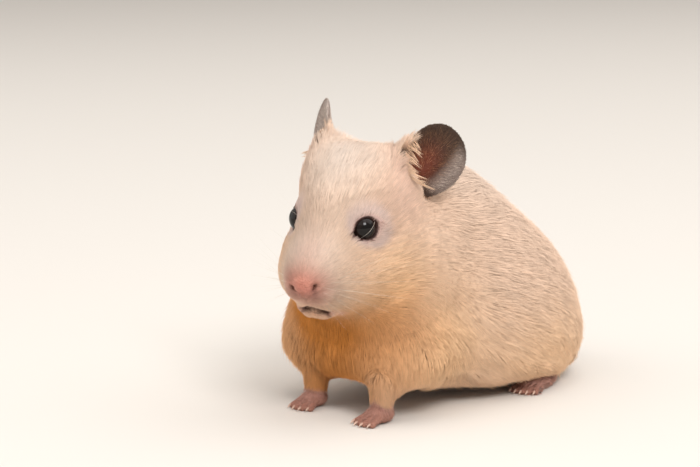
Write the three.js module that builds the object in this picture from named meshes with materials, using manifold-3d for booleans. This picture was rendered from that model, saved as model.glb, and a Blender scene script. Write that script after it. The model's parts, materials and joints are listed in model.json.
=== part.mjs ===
// A life-size Syrian hamster crouched on all fours, its head raised and turned a little to its left.
// Millimetres, +Z up, floor at Z = 0. The animal faces -Y and its left side is +X.
// Head, neck and trunk are cast from blended masses whose surface is the outside of the coat,
// then parted from the limbs, ears, eyes and tail with thin cuts.
import * as THREE from "three";
import { mergeVertices } from "three/addons/utils/BufferGeometryUtils.js";
import Module from "manifold-3d";

const wasm = await Module();
wasm.setup();

// ---- Driving dimensions -------------------------------------------------------------------------
const GAP = 0.3; // clearance left between neighbouring solids
const HIP_WIDTH = 57; // across the haunches, coat included
const BACK_RISE = 38; // half height of the leaning pear of the loin
const BELLY_CLEARANCE = 3.2; // lowest belly fur above the floor
const CHEST_LIFT = 0.08; // slope of the underside as it rises to the chest
const EYE_HEIGHT = 48; // middle of the eyes above the floor
const EYE_SPREAD = 15.2; // between the centres of the eyeballs
const EYE_SHIFT = 0.2; // of the pair, to the left of the head's own middle
const EYE_DROP = 0.4; // below the head's own origin
const EYE_BACK = 0.6; // behind it
const EYE_RADIUS = 3.3;
const HEAD_TURN = 16; // degrees, to the animal's left
const HEAD_DROP = 30; // degrees, nose down from level
const HEAD_ROLL = 4; // degrees, right side up
const EAR_LENGTH = 19.5; // from the buried root to the tip
const EAR_WIDTH = 15.4;
const EAR_THICKNESS = 1.1;
const EAR_FLARE = 0.15; // how much wider the front half is at its root
const FOOT_PRESS = 0.15; // how far soles and toes are pressed flat
const TOE_RADIUS = 0.85;
const CLAW_RADIUS = 0.42;
const ELBOW_RADIUS = 6.2;
const WRIST_RADIUS = 3.9;
const TAIL_RADIUS = 1.9;

const HEAD_MIDDLE = new THREE.Vector3(4, -46, EYE_HEIGHT); // the point midway between the eyes
const RAD = Math.PI / 180;
const SIDES = [
  { side: "left", s: 1 },
  { side: "right", s: -1 },
];

// ---- Frames -------------------------------------------------------------------------------------
const at = (x, y, z) => new THREE.Vector3(x, y, z);
/** A rigid frame from a position and turns in degrees, applied about z, then x, then y. */
function frameOf(position, turnZ = 0, turnX = 0, turnY = 0) {
  return new THREE.Matrix4()
    .makeTranslation(position)
    .multiply(new THREE.Matrix4().makeRotationZ(turnZ * RAD))
    .multiply(new THREE.Matrix4().makeRotationX(turnX * RAD))
    .multiply(new THREE.Matrix4().makeRotationY(turnY * RAD));
}
const BODY = new THREE.Matrix4();
// The head's own frame: x to its left, y backwards, z up, with the origin between the eyes.
const HEAD = frameOf(HEAD_MIDDLE, HEAD_TURN, HEAD_DROP, HEAD_ROLL);
const inHead = (x, y, z) => at(x, y, z).applyMatrix4(HEAD);

// ---- Blended masses -----------------------------------------------------------------------------
// Each mass is an ellipsoid in a frame; blend is how far, in millimetres, it melts into the rest.
function mass(frame, centre, radii, blend, lean = 0) {
  const local = frameOf(at(...centre), 0, lean);
  return {
    inverse: frame.clone().multiply(local).invert(),
    radii: at(...radii),
    blend,
  };
}
const pair = (frame, [x, y, z], radii, blend) =>
  SIDES.map(({ s }) => mass(frame, [s * x, y, z], radii, blend));

const trunkMasses = [
  mass(BODY, [0, 10, 12], [HIP_WIDTH / 2, 32, BACK_RISE], 8, 30), // hips and loin
  mass(BODY, [0, -9, 29], [20.5, 25, 33], 12), // ribs and withers
  mass(BODY, [0, -24, 22], [21, 20, 20], 8), // chest
  mass(BODY, [1.5, -26, 37], [19, 15, 18], 10), // shoulder ruff
  ...pair(BODY, [14.3, -27.5, 15], [10.5, 13, 14], 8), // shoulders
];
const headMasses = [
  mass(HEAD, [0, 10, 0], [10.2, 15.5, 12], 6), // cranium
  ...pair(HEAD, [7.4, 16.5, 3], [5.5, 8, 8], 5), // ear bases
  mass(HEAD, [0, -3, -3.5], [7, 10.5, 7], 5), // bridge
  mass(HEAD, [0, -9, -7], [7.8, 8.5, 8], 4), // muzzle
  mass(HEAD, [0, -8, -13], [6.2, 6.7, 6.8], 5), // chin
  ...pair(HEAD, [7.2, -1, -12], [7, 10.5, 8.5], 5), // cheeks
  mass(HEAD, [0, -14, -5], [4, 4, 3.8], 4), // nose
  mass(BODY, [2, -30, 40], [18, 16, 20], 8), // neck
];

/** The greater of two distances, rounded where they cross. */
function softMax(a, b, blend) {
  const h = Math.max(blend - Math.abs(a - b), 0) / blend;
  return Math.max(a, b) + (h * h * blend) / 4;
}
const UNDERSIDE_BLEND = 7;
const probe = new THREE.Vector3();
/** Signed distance, negative inside, from a point to the blended surface above the underside. */
function field(masses, point) {
  let total = Infinity;
  for (const { inverse, radii, blend } of masses) {
    probe.copy(point).applyMatrix4(inverse).divide(radii);
    const scaled = probe.length();
    const slope = probe.divide(radii).length();
    const d = slope > 1e-6 ? (scaled * (scaled - 1)) / slope : -radii.x;
    const h = total === Infinity ? 0 : Math.max(blend - Math.abs(total - d), 0) / blend;
    total = Math.min(total, d) - (h * h * blend) / 4;
  }
  const below = BELLY_CLEARANCE + CHEST_LIFT * Math.max(-point.y, 0) - point.z;
  return softMax(total, below, UNDERSIDE_BLEND);
}

const REACH = 90; // longer than any ray from the middle of the body to its surface
/** The distance along a ray from inside the masses to their surface, offset by grow. */
function castOut(masses, origin, direction, grow) {
  const point = new THREE.Vector3();
  const outside = (t) => field(masses, point.copy(direction).multiplyScalar(t).add(origin)) > grow;
  let high = 1;
  while (high < REACH && !outside(high)) high += 1;
  let low = high - 1;
  for (let i = 0; i < 14; i++) {
    const middle = (low + high) / 2;
    if (outside(middle)) high = middle;
    else low = middle;
  }
  return low;
}

// ---- Solids -------------------------------------------------------------------------------------
/** A manifold solid from a closed three.js geometry. */
function solid(geometry) {
  const bare = new THREE.BufferGeometry();
  bare.setAttribute("position", geometry.getAttribute("position"));
  bare.setIndex(geometry.index);
  const merged = mergeVertices(bare, 1e-4);
  const ids = merged.index.array;
  const kept = [];
  for (let i = 0; i < ids.length; i += 3) {
    const [a, b, c] = [ids[i], ids[i + 1], ids[i + 2]];
    if (a !== b && b !== c && c !== a) kept.push(a, b, c);
  }
  return new wasm.Manifold(
    new wasm.Mesh({
      numProp: 3,
      vertProperties: merged.attributes.position.array,
      triVerts: new Uint32Array(kept),
    }),
  );
}
const union = (...solids) => wasm.Manifold.union(solids.flat());
const largest = (s) => s.decompose().reduce((a, b) => (b.volume() > a.volume() ? b : a));

/** Moves every vertex of a geometry. */
function warped(geometry, move) {
  const positions = geometry.getAttribute("position");
  for (let i = 0; i < positions.count; i++) {
    const to = move(new THREE.Vector3().fromBufferAttribute(positions, i));
    positions.setXYZ(i, to.x, to.y, to.z);
  }
  return geometry;
}

/** A capsule laid along a curve, each vertex cast out from the curve to the masses' surface. */
function castSolid(masses, curve, turn, rings, grow = 0) {
  const length = 10; // nominal: only the share of it along the curve counts
  const capsule = new THREE.CapsuleGeometry(1, length, rings.cap, rings.around, rings.along);
  return solid(
    warped(capsule, (p) => {
      const y = THREE.MathUtils.clamp(p.y, -length / 2, length / 2);
      const centre = curve.getPoint(y / length + 0.5);
      const direction = at(-p.x, y - p.y, p.z).normalize().applyQuaternion(turn);
      return centre.addScaledVector(direction, castOut(masses, centre, direction, grow));
    }),
  );
}

/** An ellipsoid in a frame. */
function ellipsoid(radii, centre, frame = BODY, segments = 20) {
  const placed = frame
    .clone()
    .multiply(new THREE.Matrix4().makeTranslation(...centre))
    .multiply(new THREE.Matrix4().makeScale(...radii));
  const sphere = new THREE.SphereGeometry(1, segments, Math.round(segments * 0.6));
  return solid(sphere.applyMatrix4(placed));
}

/** A round-ended limb through points, its radius running evenly from first to last. */
function limb(points, from, to, sides, rings, caps = 3) {
  const curve = new THREE.CatmullRomCurve3(points);
  const shape = new THREE.CapsuleGeometry(1, 10, caps, sides, rings);
  const up = new THREE.Vector3(0, 1, 0);
  return solid(
    warped(shape, (p) => {
      const y = THREE.MathUtils.clamp(p.y, -5, 5);
      const t = y / 10 + 0.5;
      const turn = new THREE.Quaternion().setFromUnitVectors(up, curve.getTangent(t));
      const offset = at(p.x, p.y - y, p.z).multiplyScalar(from + (to - from) * t);
      return curve.getPoint(t).add(offset.applyQuaternion(turn));
    }),
  );
}

// ---- Head, neck and trunk -----------------------------------------------------------------------
const trunkLine = new THREE.CatmullRomCurve3([at(0, 18, 18), at(0, 0, 24), at(0, -20, 28)]);
const headLine = new THREE.LineCurve3(inHead(0, 16, -3), inHead(0, -7, -7));
const headTurn = new THREE.Quaternion().setFromRotationMatrix(HEAD);
const TRUNK_RINGS = { cap: 6, around: 24, along: 7 };
const HEAD_RINGS = { cap: 7, around: 26, along: 5 };
const trunkWhole = castSolid(trunkMasses, trunkLine, new THREE.Quaternion(), TRUNK_RINGS);
const trunkGrown = castSolid(trunkMasses, trunkLine, new THREE.Quaternion(), TRUNK_RINGS, GAP);
const headWhole = castSolid(headMasses, headLine, headTurn, HEAD_RINGS);

const headGrown = castSolid(headMasses, headLine, headTurn, HEAD_RINGS, GAP);
const whole = union(headWhole, trunkWhole);

/** The part of a solid on one side of a plane, set back from it by half the gap. */
function cutBy(s, { on, facing }, side) {
  const normal = facing.clone().multiplyScalar(side).normalize();
  return s.trimByPlane(normal.toArray(), normal.dot(on) + GAP / 2);
}
// Both neck planes face the head; they meet under the jaw, so the neck is a wedge above it.
const NAPE_PLANE = { on: at(1, -22.5, 55), facing: at(0.1, -0.93, 0.36) };
const WITHERS_PLANE = { on: at(0, -11, 58), facing: at(0, -0.73, 0.68) };

// ---- Ears ---------------------------------------------------------------------------------------
/** Frame of an ear: z along it, -y out of the opening, both first given in the head's yaw frame. */
function earFrame({ s, root, along, opening }) {
  const z = at(s * along[0], along[1], along[2]).normalize();
  const front = at(s * opening[0], opening[1], opening[2]);
  const x = at(0, 0, 0).crossVectors(z, front).normalize();
  const y = at(0, 0, 0).crossVectors(z, x);
  return frameOf(HEAD_MIDDLE, HEAD_TURN, 0, HEAD_ROLL)
    .multiply(new THREE.Matrix4().makeTranslation(s * root[0], root[1], root[2]))
    .multiply(new THREE.Matrix4().makeBasis(x, y, z));
}
const EARS = [
  {
    side: "left",
    s: 1,
    root: [10.2, 17.5, 6.5],
    along: [0.52, 0.5, 0.8],
    opening: [0.6, -0.8, 0],
    cup: 5, // how far the margins curl towards the opening
  },
  {
    side: "right",
    s: -1,
    root: [7, 18.3, 7.9],
    along: [0.44, 0.16, 0.87],
    opening: [0.77, -0.64, 0],
    cup: 2.6,
  },
];
/** A cupped leaf: a flattened sphere with its margins curled towards the opening. */
function earLeaf(ear) {
  const leaf = new THREE.SphereGeometry(1, 18, 8);
  return solid(
    warped(leaf, (p) => {
      const rise = (p.z + 1) / 2;
      const curl = p.x * p.x * ear.cup * (1.25 - 0.7 * rise);
      const flare = p.x * ear.s < 0 ? 1 + EAR_FLARE * (1 - rise) : 1;
      const half = (EAR_WIDTH / 2) * (1 + 0.16 * p.z) * (0.8 + 0.2 * rise) * flare;
      const skin = THREE.MathUtils.clamp(p.y * 3, -1, 1) * (EAR_THICKNESS / 2);
      return at(p.x * half, skin - curl + 1.5 * rise * rise, rise * EAR_LENGTH);
    }).applyMatrix4(earFrame(ear)),
  );
}

// ---- Limbs --------------------------------------------------------------------------------------
/** A foot lying on the floor: sole, toes and claws, cut flat where it stands. */
function foot({ frame, sole, toes, toeLength, toeSpread, clawLength }) {
  const pieces = [ellipsoid(sole.radii, sole.centre, frame, 10)];
  const rootY = sole.centre[1] - sole.radii[1] * 0.55;
  for (let i = 0; i < toes; i++) {
    const share = (i / (toes - 1)) * 2 - 1; // -1 at the inner toe, 1 at the outer one
    const rootX = share * sole.radii[0] * 0.62;
    const tipX = share * (sole.radii[0] * 0.75 + toeSpread);
    const tipY = rootY - toeLength * (1 - 0.22 * share * share);
    const toe = [
      at(rootX, rootY, sole.centre[2] - 0.2),
      at((rootX + tipX) / 2, (rootY + tipY) / 2, TOE_RADIUS * 1.5),
      at(tipX, tipY, TOE_RADIUS - FOOT_PRESS),
    ].map((p) => p.applyMatrix4(frame));
    const claw = [
      at(tipX, tipY - TOE_RADIUS * 0.3, TOE_RADIUS * 1.1),
      at(tipX * 1.02, tipY - clawLength, TOE_RADIUS * 0.7),
    ].map((p) => p.applyMatrix4(frame));
    pieces.push(limb(toe, TOE_RADIUS * 1.15, TOE_RADIUS, 5, 1, 2));
    pieces.push(limb(claw, CLAW_RADIUS, CLAW_RADIUS * 0.65, 4, 1, 1));
  }
  return union(pieces).trimByPlane([0, 0, 1], 0);
}

const FORE_STANCE = {
  left: { paw: [14, -39], elbow: [15, -32, 16], turn: -6 },
  right: { paw: [-8.2, -38.5], elbow: [-14.5, -32, 15], turn: 4 },
};
const HIND_STANCE = { heel: [19, 18], turn: 14 };
const CUT_MASSES = [
  { name: "upper_arm", centre: [17, -27, 15], radii: [9.5, 11, 13] },
  { name: "thigh", centre: [22, 15, 13], radii: [13, 18, 17] },
];
const FOREPAW = {
  sole: { radii: [3.2, 3.6, 2.2], centre: [0, 0, 2.2 - FOOT_PRESS] },
  toes: 4,
  toeLength: 4,
  toeSpread: 0.4,
  clawLength: 1.6,
};
const HIND_FOOT = {
  sole: { radii: [3.3, 7, 2.2], centre: [0, -4.5, 2.2 - FOOT_PRESS] },
  toes: 5,
  toeLength: 5.2,
  toeSpread: 0.7,
  clawLength: 1.8,
};
const grown = (radii) => radii.map((r) => r + GAP);

const parts = new Map();
const put = (name, made, material) => parts.set(name, { made, material });
let trunk = cutBy(whole, WITHERS_PLANE, -1);
let head = largest(cutBy(cutBy(whole, WITHERS_PLANE, 1), NAPE_PLANE, 1));
const neck = largest(cutBy(cutBy(whole, WITHERS_PLANE, 1), NAPE_PLANE, -1));

// Hind feet, and the pockets they leave in the coat above them
const pockets = [];
for (const { side, s } of SIDES) {
  const frame = frameOf(at(s * HIND_STANCE.heel[0], HIND_STANCE.heel[1], 0), s * HIND_STANCE.turn);
  put(`hind_foot_${side}`, foot({ frame, ...HIND_FOOT }), "skin");
  pockets.push(ellipsoid(grown(HIND_FOOT.sole.radii), HIND_FOOT.sole.centre, frame, 10));
}
const TAIL_LINE = [at(0, 37, 10), at(0, 43, 8.5), at(0, 48, 6)];
const TAIL_END = TAIL_RADIUS * 0.5;
put("tail", limb(TAIL_LINE, TAIL_RADIUS, TAIL_END, 10, 3, 2), "skin");
pockets.push(limb(TAIL_LINE, TAIL_RADIUS + GAP, TAIL_END + GAP, 10, 3, 2));

// Forelegs: a forearm cut level just above each paw
for (const { side } of SIDES) {
  const { paw, elbow, turn } = FORE_STANCE[side];
  const frame = frameOf(at(paw[0], paw[1], 0), turn);
  put(`forepaw_${side}`, foot({ frame, ...FOREPAW }), "skin");
  const line = [at(...elbow), at(paw[0], paw[1] + 0.8, 5)];
  const pawTop = FOREPAW.sole.centre[2] + FOREPAW.sole.radii[2];
  const forearm = limb(line, ELBOW_RADIUS, WRIST_RADIUS, 12, 3, 2);
  put(`forearm_${side}`, forearm.trimByPlane([0, 0, 1], pawTop + GAP), "fur");
  pockets.push(limb(line, ELBOW_RADIUS + GAP, WRIST_RADIUS + GAP, 12, 3, 2));
}
trunk = trunk.subtract(union(pockets));

// Upper arms and thighs, parted from the trunk
for (const { name, centre, radii } of CUT_MASSES) {
  for (const { side, s } of SIDES) {
    const middle = [s * centre[0], centre[1], centre[2]];
    put(`${name}_${side}`, largest(trunk.intersect(ellipsoid(radii, middle, BODY, 14))), "fur");
    trunk = trunk.subtract(ellipsoid(grown(radii), middle, BODY, 14));
  }
}
put("trunk", largest(trunk), "fur");
put("neck", neck, "fur");

// Ears, eyes and nose pad, each set in the head
const LID_RADIUS = 3.9;
const LID_OUT = 1.3;
const LID_FORWARD = 1.1;
for (const ear of EARS) {
  put(`ear_${ear.side}`, largest(earLeaf(ear).subtract(headGrown)), "ear");
}
for (const { side, s } of SIDES) {
  const centre = [(s * EYE_SPREAD) / 2 + EYE_SHIFT, EYE_BACK, -EYE_DROP];
  const eye = [EYE_RADIUS, EYE_RADIUS, EYE_RADIUS];
  const lid = [centre[0] + s * LID_OUT, centre[1] - LID_FORWARD, centre[2]];
  put(`eye_${side}`, ellipsoid(eye, centre, HEAD, 14), "eye");
  head = head.subtract(ellipsoid(grown(eye), centre, HEAD, 14));
  head = head.subtract(ellipsoid([LID_RADIUS, LID_RADIUS, LID_RADIUS], lid, HEAD, 12));
}
const NOSE = { radii: [3.2, 2.3, 2.8], centre: [0.2, -16.6, -4.3] };
put("nose", ellipsoid(NOSE.radii, NOSE.centre, HEAD, 12), "skin");
head = head.subtract(ellipsoid(grown(NOSE.radii), NOSE.centre, HEAD, 12));
put("head", largest(head), "fur");

// ---- The finished group -------------------------------------------------------------------------
const slot = (name, color, roughness) =>
  new THREE.MeshStandardMaterial({ name, color, roughness, metalness: 0 });
const SLOTS = {
  fur: slot("fur", 0xe8c9a8, 0.9),
  skin: slot("skin", 0xdd9a92, 0.6),
  ear: slot("ear", 0x6b5a55, 0.7),
  eye: slot("eye", 0x201814, 0.05),
};

/** A named three.js mesh of a solid. */
function meshOf(name, made, material) {
  const { vertProperties, triVerts } = made.getMesh();
  const geometry = new THREE.BufferGeometry();
  geometry.setAttribute("position", new THREE.BufferAttribute(vertProperties, 3));
  geometry.setIndex(new THREE.BufferAttribute(triVerts, 1));
  geometry.computeVertexNormals();
  const mesh = new THREE.Mesh(geometry, material);
  mesh.name = name;
  return mesh;
}

// The origin is the middle of the floor under the whole animal.
const { min, max } = union([...parts.values()].map(({ made }) => made)).boundingBox();
const toOrigin = [-(min[0] + max[0]) / 2, -(min[1] + max[1]) / 2, 0];
const group = new THREE.Group();
group.name = "syrian_hamster";
for (const [name, { made, material }] of parts) {
  group.add(meshOf(name, made.translate(toOrigin), SLOTS[material]));
}

export default group;
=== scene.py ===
"""A still, life-size Syrian hamster: one skin under a coat of mesh tufts, with eyes, claws and whiskers.

Lengths here are in millimetres unless they say metres. The animal faces -Y and its left side is +X.
"""

from __future__ import annotations

import json
import logging
import math
from collections.abc import Callable, Iterable
from dataclasses import dataclass, field
from enum import Enum
from functools import partial
from typing import ClassVar

import bmesh
import bpy
import numpy as np
from mathutils import Matrix, Vector, bvhtree, kdtree

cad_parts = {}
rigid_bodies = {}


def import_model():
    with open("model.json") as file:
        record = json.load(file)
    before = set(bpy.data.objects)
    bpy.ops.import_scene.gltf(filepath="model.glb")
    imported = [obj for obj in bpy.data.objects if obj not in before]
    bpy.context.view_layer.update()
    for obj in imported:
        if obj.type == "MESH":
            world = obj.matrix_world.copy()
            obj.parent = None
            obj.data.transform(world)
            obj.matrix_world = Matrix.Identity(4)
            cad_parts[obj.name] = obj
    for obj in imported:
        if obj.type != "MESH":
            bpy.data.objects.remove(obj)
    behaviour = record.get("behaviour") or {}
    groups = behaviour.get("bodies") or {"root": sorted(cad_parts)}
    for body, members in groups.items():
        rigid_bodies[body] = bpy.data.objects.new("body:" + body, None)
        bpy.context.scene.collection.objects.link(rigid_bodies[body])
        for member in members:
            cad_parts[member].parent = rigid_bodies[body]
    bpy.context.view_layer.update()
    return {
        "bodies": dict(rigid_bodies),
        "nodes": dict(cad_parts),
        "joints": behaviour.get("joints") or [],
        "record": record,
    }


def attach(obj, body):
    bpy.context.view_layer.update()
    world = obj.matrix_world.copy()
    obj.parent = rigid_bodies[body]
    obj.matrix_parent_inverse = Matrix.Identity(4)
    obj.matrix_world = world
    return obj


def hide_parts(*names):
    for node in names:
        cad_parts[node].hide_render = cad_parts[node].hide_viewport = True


LOG = logging.getLogger("hamster")
MM = 0.001
SEED = 4173
BODY = "root"
BAKE_MAP = "OFBake"
BAKE_PATCH = 0.003  # how much of the unwrap's width a tuft's patch takes
Array = np.ndarray
Place = tuple[float, float, float]


class Side(Enum):
    """The two sides of the animal, with the sign of X on each."""

    LEFT = 1
    RIGHT = -1

    @property
    def label(self) -> str:
        """The side's name as the nodes spell it."""
        return self.name.lower()

    def of(self, place: Place) -> Array:
        """A place given for the left side, taken to this one."""
        return np.array(place) * (self.value, 1, 1)


class Mask(Enum):
    """Markings and painted shade that skin and coat share, in the order they are laid: from 0 to 1 at every
    vertex.
    """

    PALE = "pale"
    WARM = "warm"
    # painted shade where the coat lies in shadow
    SHADE = "shade"
    LILAC = "lilac"
    BLUSH = "blush"
    PAW = "paw"
    NOSE = "nose"
    EAR = "ear"
    EAR_RED = "ear_red"
    SILVER = "silver"
    # partly painted shade in the nostrils, the mouth and the creases of the muzzle
    DARK = "dark"


# ---- Frames ----


@dataclass(frozen=True)
class Frame:
    """A rigid frame: where its origin is, and its turns in degrees about z, then x, then y."""

    origin: Place = (0.0, 0.0, 0.0)
    turns: Place = (0.0, 0.0, 0.0)

    @property
    def matrix(self) -> Array:
        """The frame's rotation."""
        z, x, y = (math.radians(a) for a in self.turns)
        spin = Matrix.Rotation(z, 3, "Z") @ Matrix.Rotation(x, 3, "X") @ Matrix.Rotation(y, 3, "Y")
        return np.array(spin)

    def place(self, points: Array) -> Array:
        """Takes points from this frame to the animal's."""
        return np.asarray(points, float) @ self.matrix.T + self.origin

    def aim(self, directions: Array) -> Array:
        """Takes directions from this frame to the animal's."""
        return np.asarray(directions, float) @ self.matrix.T

    def local(self, points: Array) -> Array:
        """Takes points from the animal's frame to this one."""
        return (np.asarray(points, float) - self.origin) @ self.matrix


SHIFT = 5.672  # the trunk's own origin lies this far behind the middle of the animal's length
HEAD_MIDDLE = (4.0, -46.0 + SHIFT, 48.0)
TRUNK = Frame((0.0, SHIFT, 0.0))
HEAD = Frame(HEAD_MIDDLE, (16.0, 30.0, 4.0))
HEAD_LEVEL = Frame(HEAD_MIDDLE, (16.0, 0.0, 4.0))
NOSE = Frame(tuple(HEAD.place(np.array((0.3, -17.0, -5.0)))), (16.0, 30.0, -5.0))  # a little askew


def smoothstep(low: float, high: float, value: Array) -> Array:
    """Rises smoothly from 0 at low to 1 at high."""
    t = np.clip((value - low) / (high - low), 0.0, 1.0)
    return t * t * (3.0 - 2.0 * t)


def unit(vectors: Array) -> Array:
    """Vectors scaled to length one."""
    vectors = np.asarray(vectors, float)
    return vectors / np.maximum(np.linalg.norm(vectors, axis=-1, keepdims=True), 1e-12)


def rounded(rise: Array, least: float = 0.0) -> Array:
    """Half the width of a unit ball at a share of the way up it, its square being at least some number."""
    return np.sqrt(np.clip(1.0 - (2.0 * rise - 1.0) ** 2, least, 1.0))


def folded(points: Array) -> Array:
    """Points with the right side folded onto the left."""
    return points * np.where(points[:, :1] < 0, (-1, 1, 1), (1, 1, 1))


def blob(points: Array, centre: Place, reach: Place | float) -> Array:
    """A soft patch: 1 at its centre, fading out over its reach along each axis."""
    return np.exp(-(((points - np.array(centre)) / np.array(reach)) ** 2).sum(-1))


def along_path(points: Array, path: Array) -> tuple[Array, Array]:
    """How far points lie from a path, and how far along it.

    Args:
        points: Places to measure.
        path: Corners of the path.

    Returns:
        The distance of each point, and its share of the way from the path's start to its end.
    """
    path = np.asarray(path, float)
    nearest = np.full(len(points), np.inf)
    share = np.zeros(len(points))
    pieces = len(path) - 1
    for i, (a, b) in enumerate(zip(path[:-1], path[1:])):
        t = np.clip((points - a) @ (b - a) / ((b - a) @ (b - a)), 0.0, 1.0)
        gap = np.linalg.norm(points - a - t[:, None] * (b - a), axis=1)
        closer = gap < nearest
        nearest = np.where(closer, gap, nearest)
        share = np.where(closer, (i + t) / pieces, share)
    return nearest, share


def along_groove(points: Array, path: Array, inward: Place, depth: float) -> tuple[Array, Array]:
    """As along_path, but places sunk below the path count as lying on it.

    Args:
        points: Places to measure.
        path: Corners of the path.
        inward: The direction in which the groove is sunk.
        depth: How deep it is.

    Returns:
        The distance of each point, and its share of the way from the path's start to its end.
    """
    sunk = [np.array(path) + np.array(inward) * share * depth for share in (0.0, 0.33, 0.67, 1.0)]
    gaps, shares = zip(*(along_path(points, lower) for lower in sunk))
    best = np.argmin(gaps, axis=0)[None]
    return np.take_along_axis(np.array(gaps), best, 0)[0], np.take_along_axis(np.array(shares), best, 0)[0]


# ---- Small mesh tools ----


def rows_of(items: bpy.types.bpy_prop_collection, name: str, width: int, kind: type = np.float32) -> Array:
    """One property of a mesh's parts, a row for each part."""
    flat = np.empty(len(items) * width, kind)
    items.foreach_get(name, flat)
    return flat.reshape(-1, width)


def points_of(mesh: bpy.types.Mesh) -> Array:
    """A mesh's vertices in millimetres."""
    return rows_of(mesh.vertices, "co", 3).astype(float) / MM


def set_points(mesh: bpy.types.Mesh, points: Array) -> None:
    """Moves a mesh's vertices to places in millimetres."""
    mesh.vertices.foreach_set("co", (points * MM).astype(np.float32).ravel())
    mesh.update()


def normals_of(mesh: bpy.types.Mesh) -> Array:
    """A mesh's vertex normals."""
    return rows_of(mesh.vertex_normals, "vector", 3).astype(float)


def edges_of(mesh: bpy.types.Mesh) -> Array:
    """A mesh's edges as pairs of vertex numbers."""
    return rows_of(mesh.edges, "vertices", 2, np.int32)


def relaxed(values: Array, edges: Array, rounds: int, strength: float | Array = 0.5) -> Array:
    """Places, or other rows of numbers, drawn towards the mean of their neighbours.

    Args:
        values: One row for each vertex.
        edges: Pairs of neighbours.
        rounds: How many times to smooth.
        strength: Share of the way moved each time, for all or for each vertex.

    Returns:
        The smoothed rows.
    """
    count = len(values)
    ends = np.concatenate([edges[:, 0], edges[:, 1]])
    others = np.concatenate([edges[:, 1], edges[:, 0]])
    near = np.maximum(np.bincount(ends, minlength=count), 1)[:, None]
    share = strength if np.isscalar(strength) else np.asarray(strength)[:, None]
    for _ in range(rounds):
        columns = [np.bincount(ends, values[others, i], count) for i in range(values.shape[1])]
        values = values + (np.stack(columns, -1) / near - values) * share
    return values


def linked(name: str, mesh: bpy.types.Mesh) -> bpy.types.Object:
    """A new object in the scene that holds a mesh."""
    made = bpy.data.objects.new(name, mesh)
    bpy.context.scene.collection.objects.link(made)
    return made


def object_from(name: str, bm: bmesh.types.BMesh) -> bpy.types.Object:
    """A new object in the scene from a bmesh, which is then freed."""
    mesh = bpy.data.meshes.new(name)
    bm.to_mesh(mesh)
    bm.free()
    return linked(name, mesh)


def apply_modifier(made: bpy.types.Object, kind: str, **settings: object) -> None:
    """Runs one modifier on an object and keeps its result as the object's mesh.

    Args:
        made: The object.
        kind: The modifier's type.
        settings: The modifier's settings by name.
    """
    modifier = made.modifiers.new(kind.lower(), kind)
    for key, value in settings.items():
        setattr(modifier, key, value)
    graph = bpy.context.evaluated_depsgraph_get()
    graph.update()
    mesh = bpy.data.meshes.new_from_object(made.evaluated_get(graph), depsgraph=graph)
    before = made.data
    made.modifiers.clear()
    made.data = mesh
    bpy.data.meshes.remove(before)


def take(bm: bmesh.types.BMesh, piece: bmesh.types.BMesh) -> None:
    """Moves a small bmesh into a larger one, which keeps each operator working on few faces.

    Args:
        bm: The larger one.
        piece: The small one, which is freed.
    """
    mesh = bpy.data.meshes.new("piece")
    piece.to_mesh(mesh)
    piece.free()
    bm.from_mesh(mesh)
    bpy.data.meshes.remove(mesh)


def add_ball(bm: bmesh.types.BMesh, centre: Array, radius: float, detail: int = 12) -> None:
    """Adds a ball at a place.

    Args:
        bm: Where it goes.
        centre: Its middle.
        radius: Its radius.
        detail: Faces around it.
    """
    piece = bmesh.new()
    place = Matrix.Translation(Vector(centre) * MM)
    rings = detail // 2 + 1
    bmesh.ops.create_uvsphere(piece, u_segments=detail, v_segments=rings, radius=radius * MM, matrix=place)
    take(bm, piece)


def add_beads(bm: bmesh.types.BMesh, path: Array, radii: Iterable[float], count: int) -> None:
    """Adds a string of overlapping balls along a path, for a remesh to join.

    Args:
        bm: Where they go.
        path: Corners of the path.
        radii: A radius for each corner.
        count: How many balls.
    """
    path = np.asarray(path, float)
    knots = np.linspace(0.0, 1.0, len(path))
    radii = np.asarray(list(radii), float)
    for t in np.linspace(0.0, 1.0, count):
        centre = [np.interp(t, knots, path[:, axis]) for axis in range(3)]
        add_ball(bm, np.array(centre), float(np.interp(t, knots, radii)), 10)


def add_ellipsoid(bm: bmesh.types.BMesh, frame: Frame, centre: Place, radii: Place, detail: int = 24) -> None:
    """Adds an ellipsoid in a frame.

    Args:
        bm: Where it goes.
        frame: The frame of its centre and axes.
        centre: Its middle in that frame.
        radii: Half its size along each axis.
        detail: Faces around it.
    """
    turned = Matrix(frame.matrix.tolist()).to_4x4()
    place = Matrix.Translation(Vector(frame.place(np.array(centre))) * MM)
    size = Matrix.Diagonal((radii[0] * MM, radii[1] * MM, radii[2] * MM, 1.0))
    piece = bmesh.new()
    matrix = place @ turned @ size
    bmesh.ops.create_uvsphere(piece, u_segments=detail, v_segments=detail // 2, radius=1.0, matrix=matrix)
    take(bm, piece)


def write_values(mesh: bpy.types.Mesh, name: str, values: Array) -> None:
    """Stores one number for each vertex under a name."""
    layer = mesh.attributes.get(name) or mesh.attributes.new(name, "FLOAT", "POINT")
    layer.data.foreach_set("value", np.ascontiguousarray(values, np.float32))


# ---- What the animal is made of ----


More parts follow.
